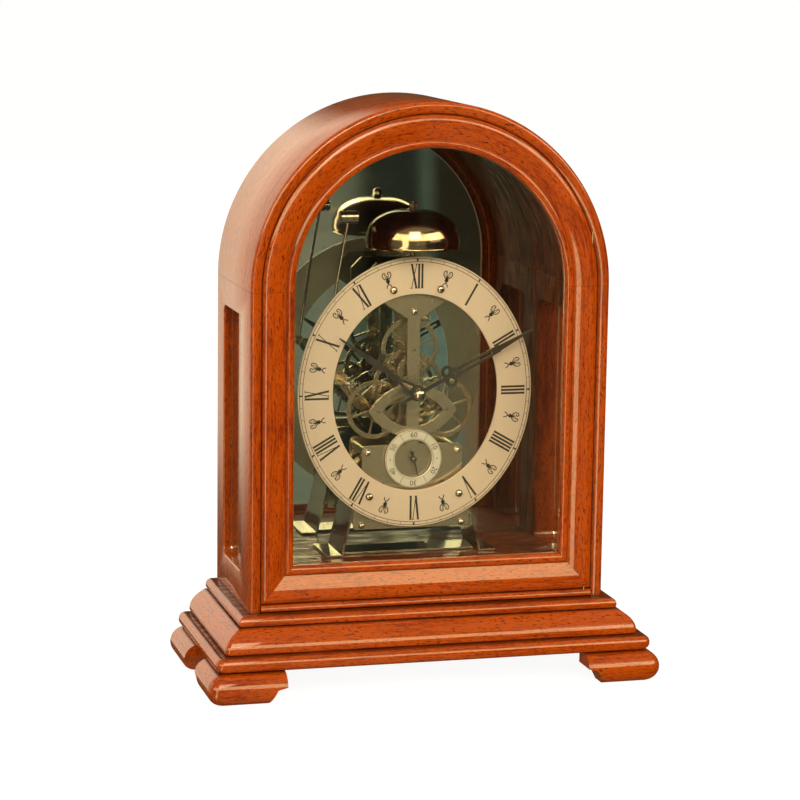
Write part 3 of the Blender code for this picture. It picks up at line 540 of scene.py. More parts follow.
class Shape:
    """A mesh being gathered from lofts, before it becomes an object."""

    def __init__(self) -> None:
        """Starts with nothing."""
        self.points: list[Vector] = []
        self.faces: list[tuple[int, ...]] = []

    def loft(self, loops: Sequence[Loop], ring: bool = False, capped: bool = True) -> "Shape":
        """Joins loops of equal length.

        Args:
            loops: the loops in order.
            ring: the last loop joins the first.
            capped: both ends are closed.

        Returns:
            The shape itself.
        """
        start, count, rows = len(self.points), len(loops[0]), len(loops)
        self.points += [Vector(p) for loop in loops for p in loop]
        for row in range(rows if ring else rows - 1):
            a, b = start + row * count, start + (row + 1) % rows * count
            self.faces += [(a + k, a + (k + 1) % count, b + (k + 1) % count, b + k) for k in range(count)]
        if capped and not ring:
            self.faces.append(tuple(range(start, start + count))[::-1])
            self.faces.append(tuple(range(start + (rows - 1) * count, start + rows * count)))
        return self

    def plate(self, outline: Sequence[Flat], front: float, back: float, centre: Flat = (0, 0),
              chamfer: float = 0.0) -> "Shape":
        """A flat piece seen from the front.

        Args:
            outline: its edge, as x and height from the centre.
            front: depth of its front face.
            back: depth of its back face.
            centre: x and height of its centre.
            chamfer: how far its front edge is broken.

        Returns:
            The shape itself.
        """
        rows = [(back, 0.0), (front + chamfer, 0.0)] + ([(front, chamfer)] if chamfer else [])
        loops = []
        for depth, inset in rows:
            ring = []
            for k, (x, h) in enumerate(outline):
                before, after = outline[k - 1], outline[(k + 1) % len(outline)]
                normal = Vector((after[1] - before[1], before[0] - after[0])).normalized()
                ring.append(at(centre[0] + x - normal.x * inset, depth, centre[1] + h - normal.y * inset))
            loops.append(ring)
        return self.loft(loops)

    def turned(self, profile: Sequence[Flat], steps: int, place: Vector, axis: Vector, closed: bool = False,
               start: float = 0.0) -> "Shape":
        """A turned solid.

        Args:
            profile: radius and distance along the axis, from one end to the other.
            steps: how many sides.
            place: where its axis starts.
            axis: its direction.
            closed: the profile is a loop of its own, with no end caps.
            start: angle of the first side.

        Returns:
            The shape itself.
        """
        turn = Vector(axis).to_track_quat("Z", "Y")
        angles = [start + tau * k / steps for k in range(steps)]
        if closed:
            return self.loft([[place + turn @ Vector((r * cos(a), r * sin(a), z)) for r, z in profile]
                              for a in angles], ring=True)
        solid = [(max(r, 1e-6), z) for r, z in profile]
        return self.loft([[place + turn @ Vector((r * cos(a), r * sin(a), z)) for a in angles]
                          for r, z in solid])

    def tube(self, path: Sequence[Vector], radius: float, sides: int = 16) -> "Shape":
        """A round wire along a path."""
        loops = []
        for k, point in enumerate(path):
            along = (path[min(k + 1, len(path) - 1)] - path[max(k - 1, 0)]).normalized()
            turn = along.to_track_quat("Z", "Y")
            loops.append([point + turn @ Vector((a, b, 0)) for a, b in circle(radius, sides)])
        return self.loft(loops)

    def ribbon(self, line: Sequence[Flat], width: float | Sequence[float], front: float, back: float,
               closed: bool = False, centre: Flat = (0, 0)) -> "Shape":
        """A flat strip that follows a line seen from the front.

        Args:
            line: its middle, as x and height.
            width: its width, or one for each point.
            front: depth of its front.
            back: depth of its back.
            closed: the line is a loop.
            centre: x and height added to each point.

        Returns:
            The shape itself.
        """
        loops, last = [], len(line) - 1
        for k, (x, h) in enumerate(line):
            after = line[(k + 1) % len(line)] if closed else line[min(k + 1, last)]
            before = line[k - 1] if closed else line[max(k - 1, 0)]
            side = Vector((before[1] - after[1], after[0] - before[0])).normalized()
            half = (width if isinstance(width, (int, float)) else width[k]) / 2
            corners = ((half, back), (-half, back), (-half, front), (half, front))
            loops.append([at(centre[0] + x + side.x * w, depth, centre[1] + h + side.y * w)
                          for w, depth in corners])
        return self.loft(loops, ring=closed)

    def mesh(self, name: str) -> bpy.types.Mesh:
        """The finished mesh, with its faces pointing out."""
        mesh = bpy.data.meshes.new(name)
        mesh.from_pydata([tuple(p) for p in self.points], [], self.faces)
        work = bmesh.new()
        work.from_mesh(mesh)
        bmesh.ops.remove_doubles(work, verts=work.verts, dist=2e-6)
        bmesh.ops.recalc_face_normals(work, faces=work.faces)
        work.to_mesh(mesh)
        work.free()
        return mesh


def cut(thing: bpy.types.Object, tool: Shape, operation: str = "DIFFERENCE") -> None:
    """Cuts a shape out of an object, or joins it."""
    other = linked("tool", tool.mesh("tool"))
    step = thing.modifiers.new("cut", "BOOLEAN")
    step.object, step.operation, step.solver = other, operation, "EXACT"
    final = final_mesh(thing)
    thing.modifiers.clear()
    thing.data = final
    bpy.data.objects.remove(other)


class Workshop:
    """Turns shapes into dressed pieces that ride on the model's bodies."""

    def __init__(self, palette: Palette) -> None:
        """Keeps the palette."""
        self.palette = palette

    def piece(self, name: str, shape: Shape | bpy.types.Mesh, slot: Slot, body: str = "root",
              stands_for: Sequence[str] = (), angle: float = 35.0) -> bpy.types.Object:
        """Adds a piece.

        Args:
            name: its name.
            shape: its shape, or a mesh to share.
            slot: its finish.
            body: the body it rides on.
            stands_for: the model's nodes that it replaces.
            angle: edges sharper than this many degrees stay sharp.

        Returns:
            The object.
        """
        mesh = shape.mesh(name) if isinstance(shape, Shape) else shape
        thing = linked(name, mesh)
        self.shade(thing, angle)
        if not mesh.materials:
            mesh.materials.append(self.palette[slot])
        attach(thing, body)
        if stands_for:
            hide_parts(*stands_for)
        return thing

    @staticmethod
    def shade(thing: bpy.types.Object, angle: float) -> None:
        """Smooth shading that keeps the sharp edges."""
        thing.data.shade_smooth()
        thing.data.set_sharp_from_angle(angle=radians(angle))

    def dress(self, node: str, slot: Slot, edge: float = 0.0) -> None:
        """Gives a node of the model its finish, and rounds its edges.

        Args:
            node: the node's name.
            slot: its finish.
            edge: width of the round.
        """
        thing = frame["nodes"][node]
        thing.data.materials.clear()
        thing.data.materials.append(self.palette[slot])
        thing.data.shade_smooth()
        weld = thing.modifiers.new("weld", "WELD")
        weld.merge_threshold = 1e-6
        if edge:
            step = thing.modifiers.new("round", "BEVEL")
            step.width, step.segments, step.limit_method = edge, 2, "ANGLE"
            step.angle_limit = radians(42)
        thing.modifiers.new("even", "WEIGHTED_NORMAL").keep_sharp = True


# Wood


def inset_of(point: Vector) -> float:
    """How far a point of the case or door lies in from the outer edge of the front."""
    height = point.z - BASE - SPRING
    return HALF_WIDTH - (hypot(point.x, height) if height > 0 else abs(point.x))


def dip(value: float, middle: float, width: float) -> float:
    """A soft bump of 1 about a middle."""
    return exp(-((value - middle) / width) ** 2)


class Joinery:
    """Gives wooden pieces their grain and the painted shade in their quirks, joints and hollows."""

    shift = 0.0

    @classmethod
    def grain(cls, thing: bpy.types.Object, lay: Lay, stain: Callable[[Vector], float]) -> None:
        """Writes the grain attribute and the attribute of painted shade.

        Args:
            thing: a finished wooden piece.
            lay: the way its grain runs.
            stain: how dark the painted shade is at a point, from 0 to 1.
        """
        cls.shift += 0.37
        mesh = thing.data
        along = mesh.attributes.new("grain", "FLOAT_VECTOR", "CORNER")
        values = [0.0] * (3 * len(mesh.loops))
        for face in mesh.polygons:
            way = cls.way(lay, face.center)
            for corner in face.loop_indices:
                point = mesh.vertices[mesh.loops[corner].vertex_index].co
                values[3 * corner:3 * corner + 3] = cls.coordinates(way, point)
        along.data.foreach_set("vector", values)
        # Painted shade, from 0 to 1, at each point.
        dark = mesh.attributes.new("stain", "FLOAT", "POINT")
        dark.data.foreach_set("value", [min(1.0, stain(v.co)) for v in mesh.vertices])

    @staticmethod
    def way(lay: Lay, middle: Vector) -> Lay | str:
        """How the grain runs on one face; on a mitred moulding the returns run back."""
        if lay is not Lay.MITRED:
            return lay
        return "back" if abs(middle.x) - HALF_WIDTH > FRONT - middle.y else Lay.ACROSS

    @classmethod
    def coordinates(cls, way: Lay | str, point: Vector) -> tuple[float, float, float]:
        """Distance along the grain, across it and through it."""
        if way is Lay.ROUND_THE_ARCH:
            height = point.z - BASE - SPRING
            radius = hypot(point.x, height)
            return (0.1 * atan2(height, point.x) + cls.shift, radius, point.y)
        if way is Lay.UPRIGHT:
            return (point.z + cls.shift, point.x, point.y)
        if way is Lay.ACROSS:
            return (point.x + cls.shift, point.z, point.y)
        return (point.y + cls.shift, point.z, point.x + 1)


def timber(shop: Workshop, name: str, loops: Sequence[Loop], lay: Lay, stain: Callable[[Vector], float],
           node: str, body: str = "root", angle: float = 35.0) -> None:
    """A lofted wooden piece with its grain and painted shade.

    Args:
        shop: makes the piece.
        name: its name.
        loops: its shape.
        lay: the way its grain runs.
        stain: how dark the painted shade is at a point.
        node: the model's node that it replaces.
        body: the body it rides on.
        angle: edges sharper than this many degrees stay sharp.
    """
    thing = shop.piece(name, Shape().loft(loops), Slot.WOOD, body, [node], angle)
    Joinery.grain(thing, lay, stain)


def slab(profile: Sequence[Flat], half: float) -> Shape:
    """A profile of depths and heights in millimetres, run across the middle of the case."""
    return Shape().loft([[at(x, d * MM, h * MM) for d, h in profile] for x in (-half, half)])


@dataclass
class Case:
    """The round-topped case: arch, sides with glazed slots, bottom board, mirror and back board."""

    shop: Workshop
    wall: float = 20.7 * MM
    floor: float = 23 * MM
    sill: float = 4.9 * MM
    sill_end: float = 7.2 * MM
    slot_width: float = 52.9 * MM
    slot_height: float = 161 * MM
    slot_radius: float = 5.5 * MM
    slot_lip: float = 1.0 * MM
    slot_depth: float = 54 * MM
    slot_middle: float = 101.2 * MM
    pane: Flat = (108 * MM, 110 * MM)
    rebate: float = 17 * MM
    arch_steps: int = 96

    LIP, REST = 14.8, 95.2
    SECTION = joined_runs([[(0, 100)], [(0, 50)], [(0, 2.4), (0.5, 1.1), (1.6, 0.2), (2.9, 0), (4.6, 0.35),
                                                    (6.2, 1.15), (7.35, 2.1)],
                           [(7.35, LIP)], [(20.7, LIP)], [(20.7, REST)], [(17, REST)], [(17, 100)]])

    def build(self) -> None:
        """Makes every wooden and glazed piece of the case."""
        self.arch()
        for side in (-1, 1):
            self.side(side)
        self.bottom()
        self.panels()

    @staticmethod
    def stain(point: Vector) -> float:
        """Painted shade in the quirk beside the door, over the inside of the case, where the plinth meets the
        sides, and a little along the back.
        """
        inset, depth, height = inset_of(point) / MM, (point.y - FRONT) / MM, (point.z - BASE) / MM
        quirk = dip(inset, 7.5, 0.8) * (depth < 14) * (depth > 0.8)
        # Painted shade over the inside of the case, deeper in from the front edge.
        inside = 0.9 * min(1.0, max(0.0, inset - 0.3) / 2.5) * (depth > 14.5)
        return max(0.75 * quirk, inside, 0.7 * dip(height, 0, 1.5), 0.35 * dip(depth, 100, 2.0))

    def arch(self) -> None:
        """The bent top, one moulding swept round the arch."""
        loops = [arch_loop(self.SECTION, k / self.arch_steps) for k in range(self.arch_steps + 1)]
        timber(self.shop, "case_top", loops, Lay.ROUND_THE_ARCH, self.stain, "case_arch")

    def side(self, side: int) -> None:
        """A side wall with its slot and pane.

        Args:
            side: -1 on the left and 1 on the right.
        """
        name = "left" if side < 0 else "right"
        heights = (0, 2 * MM, SPRING - GAP / 2)
        loops = [[at(side * (HALF_WIDTH - i * MM), d * MM, h) for i, d in self.SECTION] for h in heights]
        thing = self.shop.piece(f"case_wall_{name}", Shape().loft(loops), Slot.WOOD,
                                stands_for=[f"case_side_{name}"])
        lip, quarter = self.slot_lip, 6
        rows = [(HALF_WIDTH - 1.5 * self.wall, 0.0)]
        for k in range(quarter + 1):
            a = pi / 2 * k / quarter
            rows.append((HALF_WIDTH - lip * (1 - sin(a)), lip * (1 - cos(a))))
        rows.append((HALF_WIDTH + 3 * MM, lip))
        cut(thing, Shape().loft([self.slot_loop(side * x, grow) for x, grow in rows]))
        self.shop.shade(thing, 30)
        Joinery.grain(thing, Lay.UPRIGHT, self.stain)
        pane = [self.slot_loop(side * x, -GAP) for x in self.pane]
        self.shop.piece(f"side_pane_{name}", Shape().loft(pane), Slot.GLASS,
                        stands_for=[f"side_glass_{name}"])

    def slot_loop(self, x: float, grow: float) -> list[Vector]:
        """The slot's outline at one x, grown by a margin."""
        outline = rounded_box(self.slot_width + 2 * grow, self.slot_height + 2 * grow,
                              self.slot_radius + grow)
        return [at(x, self.slot_depth + a, self.slot_middle + b) for a, b in outline]

    def bottom(self) -> None:
        """The bottom board with its moulded sill under the door."""
        inner, band = HALF_WIDTH - self.wall - GAP, HALF_WIDTH - self.sill_end - GAP
        lip, sill, floor = self.LIP, self.sill / MM, self.floor / MM
        board = ((lip - 2, 0), (lip - 2, sill), (lip, sill), (lip, floor), (self.REST, floor), (self.REST, 0))
        front = joined_runs([[(lip - 1, 0)], [(lip - 1, sill)],
                             [(2.6, sill), (1.2, sill - 0.7), (0.3, sill - 2), (0, sill - 3.2)],
                             [(0, 1.2), (0.7, 0.5), (2.4, 0)]])
        thing = self.shop.piece("case_floor", slab(board, inner), Slot.WOOD, stands_for=["case_bottom"])
        cut(thing, slab(front, band), "UNION")
        self.shop.shade(thing, 30)

        def stain(point: Vector) -> float:
            """Painted shade under and over the sill, and over the floor inside the case."""
            height, inside = (point.z - BASE) / MM, point.y - FRONT > (lip - 1.5) * MM
            return 0.88 if inside else max(dip(height, 0, 0.9), 0.9 * dip(height, sill, 0.6))

        Joinery.grain(thing, Lay.ACROSS, stain)

    def panels(self) -> None:
        """The mirror, and the back board behind it."""
        fitted = HALF_WIDTH - self.rebate - GAP
        outline = arch_outline(fitted, 1 * MM)
        self.shop.piece("back_mirror", Shape().plate(outline, 95.5 * MM, 97.5 * MM, (0, SPRING), 0.3 * MM),
                        Slot.MIRROR, stands_for=["mirror"])
        board = self.shop.piece("rear_board", Shape().plate(outline[::-1], 99.8 * MM, 97.8 * MM, (0, SPRING)),
                                Slot.BOARD, stands_for=["back_board"])
        Joinery.grain(board, Lay.UPRIGHT, lambda point: 0.0)


def arch_loop(section: Sequence[Flat], share: float) -> list[Vector]:
    """A section placed part of the way round the arch, from the left spring to the right."""
    angle = pi * share
    return [at(-(HALF_WIDTH - i * MM) * cos(angle), d * MM, SPRING + (HALF_WIDTH - i * MM) * sin(angle))
            for i, d in section]


@dataclass
class Door:
    """The glazed front door, hinged at its right-hand edge."""

    shop: Workshop
    glass_edge: float = 24.8 * MM
    glass_front: float = 8.0 * MM
    glass_back: float = 10.5 * MM
    arch_steps: int = 96

    OUTER, RAIL_LOW, RAIL_STRETCH = 7.65, 5.3, 1.113
    SECTION = joined_runs([[(OUTER, 14)], [(OUTER, 2.1), (8.3, 1.35), (9.4, 0.6), (10.6, 0.15), (12.0, 0),
                                           (14.5, 0.3), (18, 1.4), (21, 2.7), (22.8, 3.4)],
                           [(23.3, 2.5), (24.8, 1.6), (26.6, 1.8), (28, 2.8), (28.45, 4.2)],
                           [(28.45, 7.6)], [(24.5, 7.6)], [(24.5, 14)]])

    @classmethod
    def rail_height(cls, inset: float) -> float:
        """The height of the rail's or a mitred foot's point at an inset in millimetres."""
        return (cls.RAIL_LOW + (inset - cls.OUTER) * cls.RAIL_STRETCH) * MM

    @classmethod
    def stain(cls, point: Vector) -> float:
        """Painted shade in the quirks on both sides of the big moulding, and a little at the edge of the
        pane.
        """
        inset, depth, height = inset_of(point) / MM, (point.y - FRONT) / MM, (point.z - BASE) / MM
        low = cls.OUTER + (height - cls.RAIL_LOW) / cls.RAIL_STRETCH
        low = low if height < 28.6 and HALF_WIDTH - abs(point.x) > low * MM - 0.5 * MM else inset
        return max(0.7 * dip(low, 7.5, 0.7) * (depth > 1.0), 0.85 * dip(low, 23.1, 0.35),
                   0.4 * dip(low, 28.45, 0.3))

    def build(self) -> None:
        """Makes the arch, stiles, rail and pane."""
        loops = [arch_loop(self.SECTION, k / self.arch_steps) for k in range(self.arch_steps + 1)]
        timber(self.shop, "door_top", loops, Lay.ROUND_THE_ARCH, self.stain, "door_arch", "door")
        mitre = GAP / sqrt(2) / 3
        for name, side in (("left", -1), ("right", 1)):
            loops = [[at(side * (HALF_WIDTH - i * MM), d * MM, height or self.rail_height(i) + mitre)
                      for i, d in self.SECTION] for height in (0, SPRING - GAP / 2)]
            timber(self.shop, f"door_side_{name}", loops, Lay.UPRIGHT, self.stain, f"door_stile_{name}",
                   "door")
        loops = [[at(side * (HALF_WIDTH - i * MM - mitre), d * MM, self.rail_height(i))
                  for i, d in self.SECTION] for side in (-1, 1)]
        timber(self.shop, "door_foot", loops, Lay.ACROSS, self.stain, "door_rail", "door")
        outline = arch_outline(HALF_WIDTH - self.glass_edge, self.glass_edge)
        pane = Shape().plate(outline, self.glass_front, self.glass_back, (0, SPRING))
        self.shop.piece("door_pane", pane, Slot.GLASS, "door", ["door_glass"])


def round_corner(corner: Flat, radius: float, steps: int) -> list[Flat]:
    """A rounded right-hand front corner of a plan.

    Args:
        corner: x and depth of the sharp corner.
        radius: of the round.
        steps: pieces along it.

    Returns:
        Points from the front edge round to the side.
    """
    x, depth = corner[0] - radius, corner[1] + radius
    return [(x + radius * sin(pi / 2 * k / steps), depth - radius * cos(pi / 2 * k / steps))
            for k in range(steps + 1)]


@dataclass
class Plinth:
    """Three moulded layers and four bracket feet."""

    shop: Workshop
    reach: float = 31 * MM
    foot_top: float = 31 * MM
    foot_thick: float = 20 * MM
    toe: float = 38 * MM
    heel: float = 49 * MM
    step_top: float = 41 * MM

    LAYERS = {"bead": [(-6.7, 5.9), (-6.5, 6.7), (-5.6, 7.4), (-3.4, 7.6), (-1.4, 6.6), (-0.5, 5.0),
                       (-0.3, 4.2)],
              "ovolo": [(-21.4, 17.0), (-21.2, 17.7), (-19.8, 18.3), (-16.5, 17.8), (-13, 15.9), (-10, 12.8),
                        (-8, 9.8), (-7, 8.2)],
              "torus": [(-31, 20.5), (-30.6, 22.6), (-29.4, 24.4), (-27.5, 25.3), (-25.2, 25.3),
                        (-23.2, 24.4), (-22, 22.6), (-21.7, 20.5)]}
    CORNERS = {"bead": 0.8, "ovolo": 3.6, "torus": 5.2}

    def build(self) -> None:
        """Makes the layers, then the feet."""
        for name, levels in self.LAYERS.items():
            self.layer(name, smoothed(levels, 4))
        for name, side, front in (("front_left", -1, True), ("front_right", 1, True),
                                  ("back_left", -1, False), ("back_right", 1, False)):
            self.foot(name, side, front)

    def layer(self, name: str, levels: Sequence[Flat]) -> None:
        """A layer moulded on the front and both sides, and flush at the back.

        Args:
            name: its name.
            levels: height and how far it stands out there, in millimetres.
        """
        loops, most = [], max(out for _, out in levels)
        for height, out in levels:
            x, front, z = HALF_WIDTH + out * MM, -out * MM, height * MM
            radius = max(0.4 * MM, self.CORNERS[name] * MM - (most - out) * 0.35 * MM)
            right = round_corner((x, front), radius, 8)
            plan = [(-a, d) for a, d in right[::-1]] + right + [(x, CASE_DEPTH), (-x, CASE_DEPTH)]
            loops.append([at(a, d, z) for a, d in plan])
        ends = (levels[0][0], levels[-1][0])

        def stain(point: Vector) -> float:
            """Painted shade along the joints above and below the layer."""
            height = (point.z - BASE) / MM
            return max(0.9 * dip(height, ends[0], 0.55), 0.8 * dip(height, ends[1], 0.5))

        timber(self.shop, f"base_{name}", loops, Lay.MITRED, stain, f"plinth_{name}")

    def foot(self, name: str, side: int, front: bool) -> None:
        """A bracket foot with a round outer edge and stepped ends.

        Args:
            name: its corner.
            side: -1 on the left and 1 on the right.
            front: whether it is a front foot.
        """
        radius, corner = (BASE - self.foot_top - GAP) / 2, HALF_WIDTH + self.reach
        steps, loops = 20, []
        for k in range(steps + 1):
            a = pi * (k / steps - 0.5)
            height = radius - BASE + radius * sin(a)
            out = self.reach - radius + radius * cos(a)
            step = min(1.0, max(0.0, (height + self.step_top) / MM))
            length = (self.toe + (height + BASE) * 0.5) * (1 - step) + self.heel * step
            x_out, x_in, x_end = HALF_WIDTH + out, corner - self.foot_thick, corner - length
            if front:
                y_out, y_in, y_end = -out, self.foot_thick - self.reach, length - self.reach
            else:
                y_out, y_in, y_end = CASE_DEPTH, CASE_DEPTH - self.foot_thick, CASE_DEPTH - length
            outer = [(x_out, y_out)]
            if front:
                outer = round_corner((x_out, y_out), 1.5 * MM + 6.0 * MM * max(0.05, cos(a)), 10)
            plan = (*outer, (x_out, y_end), (x_in, y_end), (x_in, y_in), (x_end, y_in), (x_end, y_out))
            loops.append([at(side * x, y, height) for x, y in plan])
        top = -self.foot_top / MM

        def stain(point: Vector) -> float:
            """Painted shadow under the plinth, and painted shade close to the floor."""
            height = (point.z - BASE) / MM
            return max(0.8 * dip(height, top, 0.9), 0.6 * dip(height, -BASE / MM, 1.0))

        timber(self.shop, f"bracket_{name}", loops, Lay.MITRED, stain, f"foot_{name}", angle=30)


# Dial and hands


@dataclass
class ChapterRing:
    """The oval hour ring with its printed numerals, scrolls and minute track, and its four screws."""

    shop: Workshop
    centre: float = 128.8 * MM
    outer: Flat = (76.6 * MM, 86.5 * MM)
    inner: Flat = (54.05 * MM, 63 * MM)
    front: float = 38.3 * MM
    thick: float = 1.5 * MM
    numeral_height: float = 15.6 * MM
    numeral_inset: float = 4.4 * MM
    scroll_inset: float = 11.4 * MM
    track: Flat = (1.05 * MM, 3.05 * MM)
    studs: tuple = ((15.4 * MM, 194.5 * MM), (29.6 * MM, 62.8 * MM))

    NUMERALS = ("XII", "I", "II", "III", "IIII", "V", "VI", "VII", "VIII", "IX", "X", "XI")
    PRINT = 0.05 * MM

    def build(self) -> None:
        """Makes the ring, its print and its screws."""
        steps = 180
        broken, thick = 0.25 * MM, self.thick
        rows = ((self.outer, 0, broken), (self.outer, broken, 0), (self.inner, -broken, 0),
                (self.inner, 0, broken), (self.inner, 0, thick), (self.outer, 0, thick))
        loops = []
        for axes, inset, depth in rows:
            loops.append([at((axes[0] - inset) * cos(tau * k / steps), self.front + depth,
                             self.centre + (axes[1] - inset) * sin(tau * k / steps)) for k in range(steps)])
        self.shop.piece("hour_ring", Shape().loft(loops, ring=True), Slot.DIAL, stands_for=["chapter_ring"])
        self.minute_track()
        self.numerals()
        self.scrolls()
        number = 0
        for x, height in self.studs:
            for side in (-1, 1):
                number += 1
                screw(self.shop, f"ring_screw_{number}", (side * x, height), self.front, 2.5 * MM,
                      0.7 * number, stands_for=[f"dial_stud_{number}"], shank=5 * MM)

    def edge(self, angle: float, inset: float) -> Vector:
        """A point in from the ring's outer edge, at a clockwise angle from the top."""
        a, b = self.outer
        return (1 / hypot(sin(angle) / a, cos(angle) / b) - inset) * around(angle)[0]

    def oval_line(self, inset: float, steps: int = 180) -> list[Flat]:
        """A closed line at an even distance in from the outer edge."""
        a, b = self.outer[0] - inset, self.outer[1] - inset
        return [(a * sin(tau * k / steps), b * cos(tau * k / steps)) for k in range(steps)]

    def minute_track(self) -> None:
        """Two lines with a tick at each minute, and a pointer at each fifth one."""
        shape, centre, top = Shape(), (0, self.centre), self.front - self.PRINT
        for inset in self.track:
            shape.ribbon(self.oval_line(inset), 0.34 * MM, top, self.front, True, centre)
        for minute in range(60):
            angle = tau * minute / 60
            wide = 1.5 * MM if minute % 5 == 0 else 0.38 * MM
            line = [tuple(self.edge(angle, self.track[1])), tuple(self.edge(angle, self.track[0]))]
            shape.ribbon(line, (wide * 0.4, wide), top + 0.01 * MM, self.front, False, centre)
        self.shop.piece("minute_marks", shape, Slot.BLACK)

    def numerals(self) -> None:
        """Tall Roman numerals that stand on the middle of the dial."""
        shape = Shape()
        for hour, word in enumerate(self.NUMERALS):
            angle = tau * hour / 12
            up, across = around(angle)
            foot = self.edge(angle, self.numeral_inset) - up * self.numeral_height
            for line, widths, layer in self.strokes(word):
                points = [tuple(foot + across * x + up * y) for x, y in line]
                shape.ribbon(points, widths, self.front - self.PRINT + layer * 0.006 * MM, self.front, False,
                             (0, self.centre))
        self.shop.piece("roman_numerals", shape, Slot.BLACK)

    def strokes(self, word: str) -> list[tuple]:
        """The strokes of a numeral.

        Args:
            word: its letters.

        Returns:
            The line, its width and its layer for each stroke, about the numeral's middle.
        """
        advance = {"I": 2.15 * MM, "V": 4.5 * MM, "X": 4.3 * MM}
        thick, thin, serif, tall = 1.3 * MM, 0.48 * MM, 0.42 * MM, self.numeral_height
        x, made = -sum(advance[c] for c in word) / 2, []
        for letter in word:
            wide = advance[letter]
            left, middle, right = x + 0.55 * MM, x + wide / 2, x + wide - 0.55 * MM
            if letter == "I":
                made.append(([(middle, 0), (middle, tall)], thick, 0))
                feet, heads = [middle], [middle]
            elif letter == "V":
                made.append(([(middle, 0), (left, tall)], thick, 0))
                made.append(([(middle, 0), (right, tall)], thin, 1))
                feet, heads = [], [left, right]
            else:
                made.append(([(right, 0), (left, tall)], thick, 0))
                made.append(([(left, 0), (right, tall)], thin, 1))
                feet, heads = [left, right], [left, right]
            for height, places in ((serif / 2, feet), (tall - serif / 2, heads)):
                made += [([(p - 0.85 * MM, height), (p + 0.85 * MM, height)], serif, 2) for p in places]
            x += wide
        return made

    def scrolls(self) -> None:
        """A small lyre scroll between each two hours."""
        shape = Shape()
        for hour in range(12):
            angle = tau * (hour + 0.5) / 12
            up, across = around(angle)
            middle = self.edge(angle, self.scroll_inset)
            for line, width in self.lyre():
                points = [tuple(middle + across * x * MM + up * y * MM) for x, y in line]
                shape.ribbon(points, width * MM, self.front - self.PRINT / 2, self.front, False,
                             (0, self.centre))
        self.shop.piece("dial_scrolls", shape, Slot.BLACK)

    @staticmethod
    def lyre() -> list[tuple]:
        """The lines of one scroll: a stem, two horns that curl out, two leaves and a knot."""
        bold = 1.35
        lines = [([(0, -2.6), (0, 3.4)], 0.55), ([(-1.3, -0.6), (1.3, -0.6)], 0.6),
                 ([(0, -1.7), (0, 0.4)], 1.5)]
        for side in (-1, 1):
            horn = [(0.3, 0.6), (1.5, 1.0), (2.6, 2.3), (2.8, 4.0), (2.0, 5.1), (1.0, 4.8), (0.9, 3.9),
                    (1.6, 3.5)]
            leaf = [(0.1, -2.6), (0.9, -3.0), (1.5, -4.2), (1.6, -4.9)]
            inner = [(0.2, 1.0), (1.0, 1.9), (1.2, 2.9)]
            for line, width in ((horn, 0.46), (leaf, 0.46), (inner, 0.36)):
                lines.append((smoothed([(side * x, y) for x, y in line], 5), width))
        return [(line, bold * width) for line, width in lines]


def screw(shop: Workshop, name: str, place: Flat, depth: float, radius: float, turn: float,
          body: str = "root", stands_for: Sequence[str] = (), shank: float = 0.0, facing: int = 1,
          rise: float = 0.75) -> bpy.types.Object:
    """A dome-headed screw with a slot.

    Args:
        shop: makes the piece.
        name: its name.
        place: x and height of its axis.
        depth: of the face its head rests on.
        radius: of its head.
        turn: angle of its slot.
        body: the body it rides on.
        stands_for: the model's nodes that it replaces.
        shank: how far its shank runs on behind the face.
        facing: 1 if its head faces forward and -1 if it faces back.
        rise: height of the dome over its radius.

    Returns:
        The piece.
    """
    steps = 8
    dome = [(radius * cos(pi / 2 * k / steps), radius * (0.16 + rise * sin(pi / 2 * k / steps)))
            for k in range(steps + 1)]
    profile = [*dome[::-1], (radius, 0.0), (0.0, 0.0)]
    if shank:
        profile = [*profile[:-1], (radius * 0.48, 0.0), (radius * 0.48, -shank), (0.0, -shank)]
    base = at(place[0], depth - facing * 0.05 * MM, place[1])
    axis = Vector((0, -facing, 0))
    thing = shop.piece(name, Shape().turned(profile, 32, base, axis), Slot.STEEL, body, stands_for)
    top, half, long = radius * (0.16 + rise), radius * 0.13, radius * 1.3
    across = Vector((cos(turn), 0, sin(turn)))
    up = Vector((-sin(turn), 0, cos(turn)))
    loops = []
    for height in (top * 0.62, top * 1.4):
        middle = base + axis * height
        loops.append([middle + across * long * a + up * half * b
                      for a, b in ((-1, -1), (1, -1), (1, 1), (-1, 1))])
    cut(thing, Shape().loft(loops))
    shop.shade(thing, 35)
    return thing


